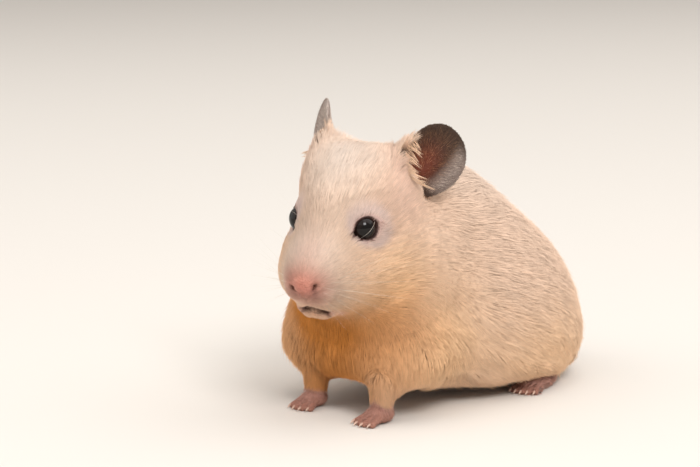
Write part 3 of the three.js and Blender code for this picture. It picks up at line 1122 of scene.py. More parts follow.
@dataclass(frozen=True)
class Skin:
    """The one skin: flesh solids joined and drawn in by the coat's depth, with ears, lids, feet and tail."""

    swell: float = 0.25  # closes the thin cuts between the solids
    core_voxel: float = 0.7
    voxel: float = 0.3
    taper: float = 0.24  # how much the forearms narrow at the wrists
    socket: tuple[float, float] = (0.9, 0.5)  # the flesh behind each eye: wider than the ball, and set back
    smoothing: int = 90  # rounds of smoothing at the creases
    most_triangles: int = 190_000

    CREASES: ClassVar[tuple[Patch, ...]] = (
        Patch(2.0, TRUNK, (12.5, -38.0, 13.5), (9, 7, 7)),  # elbows
        Patch(1.6, TRUNK, (5.0, -24.0, 57.0), (12, 6, 6)),  # nape
    )
    PUFFED_PADS: ClassVar[Patch] = Patch(0.3, HEAD, (4.6, -14.2, -7.6), (2.6, 2.6, 2.4))
    NOSE_CLEFT: ClassVar[Patch] = Patch(0.22, HEAD, (0.0, -18.4, -2.6), (0.45, 1.6, 2.4))

    def build(self, nodes: dict[str, bpy.types.Object]) -> bpy.types.Object:
        """Builds the skin.

        Args:
            nodes: The solids by name.

        Returns:
            The skin, unwrapped, with its markings stored on it.
        """
        core = self._core(nodes)
        bm = bmesh.new()
        self._add_features(bm)
        bm.from_mesh(core.data)
        bpy.data.objects.remove(core)
        skin = object_from("skin", bm)
        apply_modifier(skin, "REMESH", mode="VOXEL", voxel_size=self.voxel * MM, use_smooth_shade=True)
        points = relaxed(points_of(skin.data), edges_of(skin.data), 2)
        set_points(skin.data, points)
        set_points(skin.data, self._sculpted(points, normals_of(skin.data)))
        apply_modifier(skin, "TRIANGULATE")
        ratio = self.most_triangles / len(skin.data.polygons)
        if ratio < 1.0:
            apply_modifier(skin, "DECIMATE", ratio=ratio)
        skin.data.shade_smooth()
        self._unwrap(skin)
        for mask, values in Markings.masks(points_of(skin.data), normals_of(skin.data)).items():
            write_values(skin.data, mask.value, values)
        return skin

    def _core(self, nodes: dict[str, bpy.types.Object]) -> bpy.types.Object:
        """Joins the flesh solids and draws their surface in by the coat's depth.

        Args:
            nodes: The solids by name.

        Returns:
            The body without its ears, lids, feet and tail, hollow where the tail goes.
        """
        bm = bmesh.new()
        for name in CORE_NODES:
            piece = bmesh.new()
            piece.from_mesh(nodes[name].data)
            bmesh.ops.remove_doubles(piece, verts=piece.verts, dist=1e-6)
            piece.normal_update()
            for vertex in piece.verts:
                vertex.co += vertex.normal * self.swell * MM
            take(bm, piece)
        for eye in EYES:
            add_ball(bm, eye.centre - eye.axes[2] * self.socket[1], eye.radius + self.socket[0], 32)
        core = object_from("core", bm)
        apply_modifier(core, "REMESH", mode="VOXEL", voxel_size=self.core_voxel * MM)
        edges = edges_of(core.data)
        points = relaxed(points_of(core.data), edges, 6)
        set_points(core.data, points)
        normals = relaxed(normals_of(core.data), edges, 3)
        points = points - unit(normals) * coat_depth(points)[:, None]
        points = self._tapered(relaxed(points, edges, 4))
        creased = sum(patch.over(points) for patch in self.CREASES)
        set_points(core.data, relaxed(points, edges, self.smoothing, 0.6 * np.clip(creased, 0.0, 1.0)))
        return core

    def _tapered(self, points: Array) -> Array:
        """Narrows the forearms towards the wrists.

        Args:
            points: Places on the skin.

        Returns:
            The new places.
        """
        points = points.copy()
        for side, (paw, _) in FORE.items():
            *elbow, top = ELBOW[side]
            share = np.clip(points[:, 2] / top, 0.0, 1.0)[:, None]
            middle = np.array(paw) * (1.0 - share) + np.array(elbow) * share + (0.0, SHIFT)
            away = points[:, :2] - middle
            far = np.linalg.norm(away, axis=1)
            amount = self.taper * smoothstep(10.0, 6.0, far) * smoothstep(14.0, 6.0, points[:, 2])
            points[:, :2] -= away * amount[:, None]
        return points

    @staticmethod
    def _add_features(bm: bmesh.types.BMesh) -> None:
        """Adds ears, lids, nose pad, muzzle and feet, which the remesh joins to the body, and the tail.

        The tail stays a shell of its own, in the hollow its solid leaves in the trunk.

        Args:
            bm: Where they go.
        """
        for ear in EARS:
            ear.add(bm)
        for eye in EYES:
            for place in eye.rim(0.12):
                add_ball(bm, place, eye.lid, 8)
        add_ellipsoid(bm, HEAD, *NOSE_PAD, 32)
        middle, radii = WHISKER_PAD
        for side in Side:
            add_ellipsoid(bm, HEAD, tuple(side.of(middle)), radii)
        add_ellipsoid(bm, HEAD, *CHIN)
        for foot in FEET:
            foot.add(bm)
        add_beads(bm, TAIL, TAIL_RADII, 14)

    def _sculpted(self, points: Array, normals: Array) -> Array:
        """Shapes the lids, nostrils, lips and whisker pads.

        Args:
            points: Places of the skin's vertices.
            normals: Their outward directions.

        Returns:
            The new places.
        """
        head = folded(HEAD.local(points))
        push = self.PUFFED_PADS.over(points)
        mouth, share = along_path(head, MOUTH)
        slit = (1.9 - 0.9 * share) * np.exp(-((mouth / (1.05 - 0.5 * share)) ** 2))
        push -= slit * smoothstep(1.0, 0.7, share)
        push += 0.3 * np.exp(-(((mouth - 1.7) / 0.6) ** 2)) * smoothstep(1.0, 0.6, share)
        push -= 0.35 * np.exp(-((along_path(head, PHILTRUM)[0] / 0.42) ** 2))
        pad = folded(NOSE.local(points))
        nostril, share = along_path(pad, NOSTRIL)
        push -= 1.3 * np.exp(-((nostril / (0.7 - 0.25 * share)) ** 2))
        push -= self.NOSE_CLEFT.over(points) + 0.45 * np.exp(-((along_path(head, UNDER_NOSE)[0] / 0.4) ** 2))
        points = points + normals * push[:, None]
        for eye in EYES:
            points = eye.opened(eye.dished(points))
        points[:, 2] = np.maximum(points[:, 2], 0.0)
        return points

    @staticmethod
    def _unwrap(skin: bpy.types.Object) -> None:
        """Gives the skin its unwrap, on which the coat's roots are found too.

        Args:
            skin: The skin.
        """
        skin.data.uv_layers.new(name=BAKE_MAP)
        bpy.context.view_layer.objects.active = skin
        skin.select_set(True)
        bpy.ops.object.mode_set(mode="EDIT")
        bpy.ops.mesh.select_all(action="SELECT")
        bpy.ops.uv.smart_project(angle_limit=math.radians(60), island_margin=0.002)
        bpy.ops.object.mode_set(mode="OBJECT")
        skin.select_set(False)


# ---- Coat ----


@dataclass
class Roots:
    """Where hairs grow: places, outward directions and places on the unwrap, one row for each."""

    points: Array
    normals: Array
    uv: Array


class Surface:
    """The finished skin as arrays, with a tree that finds its nearest place."""

    def __init__(self, skin: bpy.types.Object) -> None:
        """Reads the skin's triangles, normals and unwrap.

        Args:
            skin: The skin, all triangles.
        """
        mesh = skin.data
        self.points = points_of(mesh)
        self.normals = normals_of(mesh)
        self.triangles = rows_of(mesh.loops, "vertex_index", 1, np.int32).reshape(-1, 3)
        self.uv = rows_of(mesh.uv_layers[BAKE_MAP].data, "uv", 2).reshape(-1, 3, 2).astype(float)
        self.tree = bvhtree.BVHTree.FromPolygons(self.points.tolist(), self.triangles.tolist())

    def sow(self, density: Callable[[Array, Array], Array], rng: np.random.Generator) -> Roots:
        """Scatters roots evenly at a density that varies over the skin.

        Args:
            density: Roots to the square millimetre, from places and outward directions.
            rng: The source of chance.

        Returns:
            The roots.
        """
        corner = self.points[self.triangles]
        area = np.linalg.norm(np.cross(corner[:, 1] - corner[:, 0], corner[:, 2] - corner[:, 0]), axis=1) / 2
        middle = corner.mean(1)
        facing = unit(self.normals[self.triangles].mean(1))
        total = np.cumsum(area * density(middle, facing))
        marks = np.arange(int(total[-1])) + rng.random(int(total[-1]))
        face = np.searchsorted(total, np.minimum(marks, total[-1] - 1e-6))
        a, b = rng.random((2, len(face)))
        over = a + b > 1
        a, b = np.where(over, 1 - a, a), np.where(over, 1 - b, b)
        share = np.stack([1 - a - b, a, b], -1)[:, :, None]
        points = (self.points[self.triangles[face]] * share).sum(1)
        normals = unit((self.normals[self.triangles[face]] * share).sum(1))
        return Roots(points, normals, (self.uv[face] * share).sum(1))

    def nearest(self, points: Array) -> tuple[Array, Array]:
        """The nearest places on the skin and its outward directions there.

        Args:
            points: Places near the skin.

        Returns:
            A place on the skin and a direction for each.
        """
        found = [self.tree.find_nearest(p)[::2] for p in points.tolist()]
        places = np.array([f[0] for f in found])
        ids = self.triangles[np.array([f[1] for f in found])]
        corner = self.points[ids]
        share = 1.0 / (np.linalg.norm(corner - places[:, None], axis=2) + 0.02)
        share /= share.sum(1, keepdims=True)
        return places, unit((self.normals[ids] * share[:, :, None]).sum(1))


@dataclass
class Strands:
    """Many thin closed spikes, each a three-sided tube along its own short path to a point."""

    paths: Array  # strand, step, axis
    normals: Array  # the skin's outward direction at each step
    widths: Array
    flatness: float = 0.6  # thickness as a share of the width
    profile: tuple[float, ...] = (0.8, 1.0)  # a width for each step but the last; 0 first for a pointed root
    values: dict[str, Array] = field(default_factory=dict)
    uv: Array | None = None

    @property
    def pointed(self) -> bool:
        """Whether the roots too are drawn to a point."""
        return self.profile[0] == 0

    def build(self, name: str, soften: float = 0.92) -> bpy.types.Object:
        """Makes one mesh of all the strands.

        Args:
            name: The object's name.
            soften: How far the shading follows the skin below rather than each strand's own sides.

        Returns:
            The object.
        """
        count, steps, _ = self.paths.shape
        first = int(self.pointed)
        ahead = unit(np.gradient(self.paths, axis=1))
        across = unit(np.cross(ahead, self.normals))
        lift = unit(np.cross(across, ahead))
        ring = slice(first, steps - 1)
        size = self.widths[:, None, None] / 2.0 * np.array(self.profile)[None, ring, None]
        shown, sides = [], []
        for angle in np.radians([90.0, 210.0, 330.0]):
            spoke = math.cos(angle) * across[:, ring] + math.sin(angle) * lift[:, ring] * self.flatness
            shown.append(self.paths[:, ring] + spoke * size)
            sides.append(unit(spoke))
        body = np.stack(shown, 2).reshape(count, -1, 3)
        vertices = np.concatenate([self.paths[:, :first], body, self.paths[:, -1:]], 1)
        side = np.concatenate([lift[:, :first], np.stack(sides, 2).reshape(count, -1, 3), lift[:, -1:]], 1)
        copies = [1] * first + [3] * (steps - 1 - first) + [1]
        shade = unit(side * (1.0 - soften) + np.repeat(self.normals, copies, axis=1) * soften)
        faces = self._faces(steps - 1 - first)
        per = sum(copies)
        corners = (faces[None] + (np.arange(count) * per)[:, None, None]).reshape(-1)
        mesh = self._mesh(name, vertices.reshape(-1, 3), corners)
        step = np.repeat(np.linspace(0, 1, steps), copies)
        write_values(mesh, "along", np.tile(step, count))
        for key, rows in self.values.items():
            write_values(mesh, key, np.repeat(rows, per))
        if self.uv is not None:
            self._patches(mesh, faces, step)
        mesh.shade_smooth()
        mesh.normals_split_custom_set_from_vertices(shade.reshape(-1, 3).astype(np.float32))
        return linked(name, mesh)

    def _faces(self, rings: int) -> Array:
        """Corner numbers of one strand's triangles, its root closed by a face or drawn to a point.

        Args:
            rings: How many rings of three corners it has.

        Returns:
            Three corners for each triangle.
        """
        start = int(self.pointed)
        pairs = [(start + j, start + (j + 1) % 3) for j in range(3)]
        faces = [(a, b, 0) for a, b in pairs] if self.pointed else [(0, 1, 2)]
        for ring in range(0, (rings - 1) * 3, 3):
            for a, b in pairs:
                faces += [(b + ring, a + ring, a + ring + 3), (b + ring, a + ring + 3, b + ring + 3)]
        last = (rings - 1) * 3
        faces += [(b + last, a + last, start + last + 3) for a, b in pairs]
        return np.array(faces)

    @staticmethod
    def _mesh(name: str, vertices: Array, corners: Array) -> bpy.types.Mesh:
        """A mesh of triangles from arrays.

        Args:
            name: The mesh's name.
            vertices: Places.
            corners: Three vertex numbers for each triangle.

        Returns:
            The mesh.
        """
        mesh = bpy.data.meshes.new(name)
        mesh.vertices.add(len(vertices))
        mesh.vertices.foreach_set("co", (vertices * MM).astype(np.float32).ravel())
        mesh.loops.add(len(corners))
        mesh.loops.foreach_set("vertex_index", corners.astype(np.int32))
        mesh.polygons.add(len(corners) // 3)
        mesh.polygons.foreach_set("loop_start", np.arange(0, len(corners), 3, dtype=np.int32))
        mesh.update(calc_edges=True)
        return mesh

    def _patches(self, mesh: bpy.types.Mesh, faces: Array, step: Array) -> None:
        """Lays each strand on the bake map as a small patch at its root's place.

        Args:
            mesh: The strands' mesh.
            faces: Corners of one strand's triangles.
            step: How far along the strand each of its vertices is.
        """
        rings = (len(step) - 1) // 3
        across = np.array([0.0] * self.pointed + [0.0, -0.5, 0.5] * rings + [0.0])
        local = np.stack([across, step - 0.5], -1) * BAKE_PATCH
        rows = self.uv[:, None, :] + local[None]
        corner = faces.reshape(-1)
        layer = mesh.uv_layers.new(name=BAKE_MAP)
        layer.data.foreach_set("uv", rows[:, corner].astype(np.float32).ravel())


def wobble(points: Array, size: float, seed: int) -> Array:
    """A smooth random number from -1 to 1 at each place, from a few crossed waves.

    Args:
        points: Places.
        size: Rough distance between crests.
        seed: Which waves.

    Returns:
        One number for each place.
    """
    rng = np.random.default_rng(seed)
    total = np.zeros(len(points))
    for _ in range(7):
        direction = unit(rng.normal(size=3)) * (2 * math.pi / size) * rng.uniform(0.6, 1.5)
        total += np.sin(points @ direction + rng.uniform(0, 2 * math.pi))
    return np.tanh(total / 2.6)


def turned_about(vectors: Array, axes: Array, angles: Array) -> Array:
    """Vectors turned about axes at right angles to them."""
    cos, sin = np.cos(angles)[:, None], np.sin(angles)[:, None]
    return vectors * cos + np.cross(axes, vectors) * sin


REGIONS: dict[str, tuple[Frame, Place, bool]] = {
    "muzzle": (HEAD, (3.5, -14, -7), True),
    "brow": (HEAD, (0, -3, 4), False),
    "crown": (HEAD, (0, 11, 12), False),
    "cheek": (HEAD, (12, 2, -7), True),
    "jaw": (HEAD, (5, -4, -17), True),
    "ear": (HEAD, (15, 22, 16), True),
    "nape": (TRUNK, (0, -14, 60), False),
    "neck": (TRUNK, (17, -24, 45), True),
    "chest": (TRUNK, (0, -42, 20), False),
    "shoulder": (TRUNK, (22, -24, 25), True),
    "foreleg": (TRUNK, (14, -36, 6), True),
    "back": (TRUNK, (0, 12, 54), False),
    "flank": (TRUNK, (25, 4, 34), True),
    "haunch": (TRUNK, (26, 20, 14), True),
    "rump": (TRUNK, (0, 42, 22), False),
    "belly": (TRUNK, (0, 0, 3), False),
}


@dataclass(frozen=True)
class Hair:
    """One kind of hair: how wide and how crowded it is, and how many steps its tufts bend in."""

    name: str
    steps: int
    width: float
    width_by_length: float
    cover: float  # how many layers of tufts lie over each place
    cover_by_length: float
    profile: tuple[float, ...]

    def breadth(self, length: Array) -> Array:
        """Width of a tuft of some length."""
        return self.width + self.width_by_length * length

    def density(self, length: Array) -> Array:
        """Tufts to the square millimetre where the hair has some length."""
        return (self.cover + self.cover_by_length * length) / (length * self.breadth(length))


SHORT_HAIR = Hair(
    "short", steps=2, width=0.08, width_by_length=0.018, cover=11.5, cover_by_length=0.0, profile=(1.0,)
)
LONG_HAIR = Hair(
    "long", steps=3, width=0.09, width_by_length=0.014, cover=7.0, cover_by_length=1.1, profile=(0.0, 1.0)
)


@dataclass(frozen=True)
class Coat:
    """The hair of the whole body: tufts combed along the skin, drawn together into locks."""

    least_length: float = 0.8
    length_by_depth: float = 2.25
    short_limit: tuple[float, float] = (3.0, 4.2)  # straight tufts give way to bending ones between these
    ear_length: float = 1.3  # added on the ears
    lock_share: float = 0.6  # how far the hairs of one lock share their tint
    ear_cover: float = 0.2
    silver_cover: float = 0.26  # added where an ear is silvery
    paw_cover: float = 0.2
    stray_share: float = 0.02
    flatness: float = 0.45
    rooted: float = 0.1  # how deep the tufts start under the skin
    floor_gap: float = 0.1
    # Waves that turn the hair from its lie: radians, distance between crests and seed
    swirls: tuple[tuple[float, float, int], ...] = ((0.16, 9.0, 11), (0.09, 3.5, 12))

    def length(self, points: Array) -> Array:
        """Length of the hair at each place.

        Args:
            points: Places on the skin.

        Returns:
            A length for each.
        """
        on_ears = np.maximum.reduce([ear.reach(points)[2] for ear in EARS])
        length = self.least_length + self.length_by_depth * coat_depth(points) + self.ear_length * on_ears
        lips = np.exp(-((along_path(folded(HEAD.local(points)), MOUTH)[0] / 2.4) ** 2))
        tail = smoothstep(7.0, 2.5, along_path(points, TAIL)[0])
        return length * (1.0 - 0.6 * lips) * (1.0 - 0.62 * tail)

    def grow(self, surface: Surface, rng: np.random.Generator) -> dict[str, list[Strands]]:
        """Grows all the tufts.

        Args:
            surface: The skin.
            rng: The source of chance.

        Returns:
            The strands of each region of the body.
        """
        grown: dict[str, list[Strands]] = {}
        for hair in (SHORT_HAIR, LONG_HAIR):
            roots = surface.sow(partial(self._density, hair), rng)
            LOG.info("%s hair: %d tufts", hair.name, len(roots.points))
            for name, strands in self._tufts(surface, hair, roots, rng).items():
                grown.setdefault(name, []).append(strands)
        return grown

    def _density(self, hair: Hair, points: Array, normals: Array) -> Array:
        """How many tufts of one kind grow to the square millimetre.

        Args:
            hair: The kind of hair.
            points: Places on the skin.
            normals: Outward directions there.

        Returns:
            A number for each place.
        """
        length = self.length(points)
        bending = smoothstep(*self.short_limit, length)
        wanted = 1.0 - bending if hair is SHORT_HAIR else bending
        return wanted * hair.density(length) * self._covered(points, normals)

    def _covered(self, points: Array, normals: Array) -> Array:
        """How fully each place is haired, from 0 where it is bare to 1.

        Args:
            points: Places on the skin.
            normals: Outward directions there.

        Returns:
            The share of the hair that grows there.
        """
        head = folded(HEAD.local(points))
        bare = smoothstep(0.55, 0.85, BARE_NOSE.over(points))
        mouth, share = along_groove(head, *MOUTH_GROOVE)
        bare = np.maximum(bare, smoothstep(1.0, 0.5, mouth / (1.2 - 0.6 * share)))
        bare = np.maximum(bare, smoothstep(-0.2, -0.7, normals[:, 2]) * smoothstep(3.0, 1.5, points[:, 2]))
        for eye in EYES:
            far, angle, edge = eye.polar(points)
            bare = np.maximum(bare, (far < eye.radius + 1.6) * smoothstep(edge + 7.0, edge + 4.0, angle))
        paw = Markings.near_feet(points) * smoothstep(6.2, 3.4, Markings.wrist(points))
        covered = (1.0 - bare) * (1.0 - (1.0 - self.paw_cover) * paw)
        for ear in EARS:
            rise, across, near = ear.reach(points)
            inner = smoothstep(0.0, 0.4, -(normals @ ear.axes[1]))
            thin = near * smoothstep(0.25 - 0.18 * inner, 0.42 - 0.2 * inner, rise)
            left = self.ear_cover * (1.0 - 0.4 * inner) + self.silver_cover * ear.silver(rise, across)
            covered = covered * (1.0 - thin * (1.0 - left))
        return covered

    def _tufts(
        self, surface: Surface, hair: Hair, roots: Roots, rng: np.random.Generator
    ) -> dict[str, Strands]:
        """Combs one kind of hair out from its roots.

        Args:
            surface: The skin.
            hair: The kind of hair.
            roots: Where it grows.
            rng: The source of chance.

        Returns:
            Its strands in each region of the body.
        """
        count = len(roots.points)
        depth = coat_depth(roots.points)
        length = self.length(roots.points)
        lie = Lie().over(roots.points, roots.normals)
        long_share = smoothstep(2.0, 7.0, length)
        swirl = sum(amount * wobble(roots.points, size, seed) for amount, size, seed in self.swirls)
        turn = swirl * (0.35 + 0.65 * long_share) + rng.normal(0.0, 0.06, count)
        lie = turned_about(lie, roots.normals, turn)
        own = length * rng.uniform(0.75, 1.1, count)
        stray = rng.random(count) < self.stray_share
        own = np.where(stray, own * 1.15, own)
        top = depth * np.where(stray, 1.2, rng.uniform(0.84, 1.0, count)) + 0.04
        paths, normals = self._combed(surface, hair.steps, roots, lie, own, top)
        leader = self._leaders(roots, length, rng)
        paths = self._drawn_together(roots, paths, leader, length, rng)
        paths[..., 2] = np.maximum(paths[..., 2], self.floor_gap)
        width = hair.breadth(own) * rng.uniform(0.7, 1.25, count)
        values = {mask.value: rows for mask, rows in Markings.masks(roots.points, roots.normals).items()}
        tint = rng.random(count)
        values["tint"] = tint + (rng.random(count)[leader] - tint) * self.lock_share
        regions = self._regions(roots.points)
        made = {}
        for name in dict.fromkeys(regions):
            chosen = regions == name
            made[name] = Strands(
                paths[chosen],
                normals[chosen],
                width[chosen],
                self.flatness,
                hair.profile,
                {key: value[chosen] for key, value in values.items()},
                roots.uv[chosen],
            )
        return made

    def _combed(
        self, surface: Surface, steps: int, roots: Roots, lie: Array, length: Array, top: Array
    ) -> tuple[Array, Array]:
        """Lays each tuft along the skin, step by step, lifting it off as it goes.

        Args:
            surface: The skin.
            steps: Places along each tuft.
            roots: Where the tufts grow.
            lie: The direction each sets out in.
            length: Their lengths.
            top: How high each tip stands over the skin.

        Returns:
            The places along each tuft, and the skin's outward directions below them.
        """
        places, normals, heading = roots.points, roots.normals, lie
        paths = [places - normals * self.rooted]
        facing = [normals]
        for step in range(1, steps):
            ahead = places + heading * (length / (steps - 1))[:, None]
            places, normals = surface.nearest(ahead)
            heading = unit(heading - (heading * normals).sum(1, keepdims=True) * normals)
            share = step / (steps - 1)
            lift = top * (1.0 - (1.0 - share) ** 1.7)
            paths.append(places + normals * lift[:, None])
            facing.append(normals)
        return np.stack(paths, 1), np.stack(facing, 1)

    @staticmethod
    def _spacing(length: Array) -> Array:
        """How far apart locks stand in hair of some length."""
        return 0.13 * length + 0.25

    def _leaders(self, roots: Roots, length: Array, rng: np.random.Generator) -> Array:
        """Chooses one tuft to lead each lock.

        Args:
            roots: Where the tufts grow.
            length: The usual length of the hair there.
            rng: The source of chance.

        Returns:
            For each tuft, the number of the one that leads its lock.
        """
        share = np.clip(0.12 / self._spacing(length) ** 2, 0.015, 0.3)
        leaders = np.flatnonzero(rng.random(len(length)) < share)
        tree = kdtree.KDTree(len(leaders))
        for i, place in enumerate(roots.points[leaders].tolist()):
            tree.insert(place, i)
        tree.balance()
        found = np.array([tree.find(p)[1] for p in roots.points.tolist()])
        return leaders[found]

    def _drawn_together(
        self, roots: Roots, paths: Array, leader: Array, length: Array, rng: np.random.Generator
    ) -> Array:
        """Draws the tips of neighbouring tufts together into locks.

        Args:
            roots: Where the tufts grow.
            paths: Places along each tuft.
            leader: The tuft that leads each one's lock.
            length: The usual length of the hair there.
            rng: The source of chance.

        Returns:
            The new places along each tuft.
        """
        gap = np.linalg.norm(roots.points - roots.points[leader], axis=1) / self._spacing(length)
        patchy = 0.65 + 0.35 * wobble(roots.points, 14.0, 21)
        pull = smoothstep(3.2, 0.8, gap) * (0.1 + 0.16 * smoothstep(2.5, 6.5, length)) * patchy
        pull = pull * rng.uniform(0.5, 1.1, len(length))
        share = np.linspace(0.0, 1.0, paths.shape[1]) ** 1.2
        return paths + (paths[leader] - paths) * (pull[:, None] * share[None])[:, :, None]

    @staticmethod
    def _regions(points: Array) -> Array:
        """The name of the region that each root belongs to.

        Args:
            points: Where the hairs grow.

        Returns:
            A name for each, with a side where the region is paired.
        """
        names, centres = [], []
        for name, (frame, place, paired) in REGIONS.items():
            for side in Side if paired else (Side.LEFT,):
                names.append(f"{name}_{side.label}" if paired else name)
                centres.append(frame.place(side.of(place)))
        gaps = np.stack([((points - centre) ** 2).sum(1) for centre in centres], -1)
        return np.array(names)[gaps.argmin(1)]


@dataclass(frozen=True)
class EarFringe:
    """Pale locks that stand from the front margin of an ear and cross its opening."""

    locks: int = 17
    hairs: int = 8
    length: float = 6.2
    width: float = 0.1
    spread: float = 0.22  # how far the tips of one lock stay apart
    sway: float = 0.13  # how far the locks' directions differ
    arch: float = 0.14  # how high they arch, as a share of their length
    low: float = 0.03  # shares of the way up the ear between which they stand
    high: float = 0.56

    def build(self, ear: Ear, surface: Surface, rng: np.random.Generator) -> bpy.types.Object:
        """Grows the fringe of one ear.

        Args:
            ear: The ear.
            surface: The skin.
            rng: The source of chance.

        Returns:
            The fringe.
        """
        front = -ear.side.value
        count = self.locks * self.hairs
        lock = np.repeat(np.arange(self.locks), self.hairs)
        middle = np.linspace(self.low, self.high, self.locks)[lock]
        rise = np.clip(middle + rng.normal(0.0, 0.014, count), 0.005, 1.0)
        beside = front * rounded(rise) * rng.uniform(0.86, 1.0, count)
        ball = np.stack([beside, np.full(count, -0.12), 2.0 * rise - 1.0], -1)
        roots, normals = surface.nearest(ear.foot + ear.leaf(ball) @ ear.axes)
        starts = np.stack([roots[lock == i].mean(0) for i in range(self.locks)])[lock]
        sway = rng.normal(0.0, self.sway, (self.locks, 3))[lock]
        over = np.stack([np.full(count, -front), -0.5 + 0.35 * middle, 0.4 - 0.95 * middle], -1) + sway
        length = self.length * (1.15 - middle) * rng.uniform(0.7, 1.1, self.locks)[lock]
        tips = starts + unit(over) @ ear.axes * length[:, None] + rng.normal(0.0, self.spread, (count, 3))
        arch = ear.axes[1] * (-self.arch * length[:, None])
        path = np.stack([roots - normals * 0.1, (roots + tips) / 2.0 + arch, tips], 1)
        up = np.broadcast_to(-ear.axes[1], path.shape)
        widths = self.width * rng.uniform(0.7, 1.2, count)
        values = {"tint": rng.uniform(0.0, 0.8, count), Mask.WARM.value: np.full(count, 0.35)}
        along_the_top = np.stack([np.linspace(0.01, 0.99, count), np.full(count, 0.995)], -1)
        fringe = Strands(path, up, widths, 0.5, values=values, uv=along_the_top)
        return fringe.build(f"ear_fringe_{ear.side.label}")


@dataclass(frozen=True)
class Whiskers:
    """Long tapering hairs of the muzzle and brows."""

    longest: float = 17.0
    root_width: float = 0.05
    steps: int = 9
    tip_share: float = 0.28  # width before the tip, as a share of the root's
    droop: float = 0.16  # share of the length by which they bend down and back
    brow_droop: float = 0.1

    # Root, direction and length of the lone hairs of brow and cheek, in the head's frame
    BROW_HAIRS: ClassVar[tuple[tuple[Place, Place, float], ...]] = (
        ((6.5, -2.5, 4.0), (0.7, 0.2, 0.75), 9.0),
        ((5.8, -3.6, 3.4), (0.55, -0.1, 0.9), 7.5),
        ((9.5, -5.0, -3.6), (0.9, 0.5, 0.25), 8.0),
    )

    def build(self, surface: Surface, rng: np.random.Generator) -> bpy.types.Object:
        """Grows the whiskers.

        Args:
            surface: The skin.
            rng: The source of chance.

        Returns:
            One object with all of them.
        """
        paths, widths = [self._lash(EYES[0])], [self.root_width * 1.6]
        for side in Side:
            for i, start in enumerate(whisker_roots()):
                row, place = divmod(i, 4)
                out = (0.95 - 0.08 * row, -0.15 + 0.34 * place, 0.30 - 0.26 * row)
                length = self.longest * (0.5 + 0.16 * place) * rng.uniform(0.85, 1.0)
                paths.append(self._path(surface, side, start, out, length, self.droop))
                widths.append(self.root_width)
            for start, out, length in self.BROW_HAIRS:
                paths.append(self._path(surface, side, start, out, length, self.brow_droop))
                widths.append(self.root_width * 0.8)
        paths = np.array(paths)
        up = np.broadcast_to(HEAD.aim(np.array((0.0, 0.2, 1.0))), paths.shape)
        profile = tuple(np.linspace(1.0, self.tip_share, self.steps - 1))
        made = Strands(paths, up, np.array(widths), 1.0, profile)
        return made.build("whiskers", 0.0)

    def _lash(self, eye: Eye) -> Array:
        """The path of one long hair that has fallen across an eye."""
        across = np.linspace(-2.7, 2.6, self.steps)
        below = np.linspace(0.55, -0.1, self.steps)
        out = np.sqrt((eye.radius + 0.5) ** 2 - across**2 - below**2)
        return eye.centre + np.stack([across, below, out], -1) @ eye.axes

    def _path(
        self, surface: Surface, side: Side, start: Place, out: Place, length: float, droop: float
    ) -> Array:
        """A whisker's path from just under the skin.

        Args:
            surface: The skin.
            side: The side it grows on.
            start: Near where it grows on the left, in the head's frame.
            out: The direction it grows in there.
            length: How long it is.
            droop: How far it bends down and back, as a share of its length.

        Returns:
            The places along it.
        """
        root, normal = surface.nearest(HEAD.place(side.of(start))[None])
        direction = unit(HEAD.aim(side.of(out)) + 0.35 * normal[0])
        t = np.linspace(0.0, 1.0, self.steps)[:, None]
        bent = HEAD.aim(np.array((0.0, 1.0, 0.0))) + (0.0, 0.0, -1.0)
        return root[0] - normal[0] * 0.2 + direction * length * t + bent * droop * length * t**2


@dataclass(frozen=True)
class Claws:
    """The claws of all four feet."""

    fore_width: float = 0.62
    hind_width: float = 0.72

    def build(self, foot: Foot) -> bpy.types.Object:
        """The claws of one foot, each bent down to its point.

        Args:
            foot: The foot.

        Returns:
            One object with all of them.
        """
        paths = np.array(foot.claws())
        up = np.broadcast_to(np.array((0.0, 0.0, 1.0)), paths.shape)
        fore = foot.name.startswith("fore")
        widths = np.full(len(paths), self.fore_width if fore else self.hind_width)
        made = Strands(paths, up, widths, 1.25, (0.9, 1.0, 0.62))
        return made.build(f"claws_{foot.name}", 0.0)


# ---- Finishes ----


def linear(colour: Place) -> tuple[float, float, float, float]:
    """A colour given as red, green and blue from 0 to 255, as linear light."""
    parts = [c / 255.0 for c in colour]
    parts = [c / 12.92 if c <= 0.04045 else ((c + 0.055) / 1.055) ** 2.4 for c in parts]
    return (parts[0], parts[1], parts[2], 1.0)


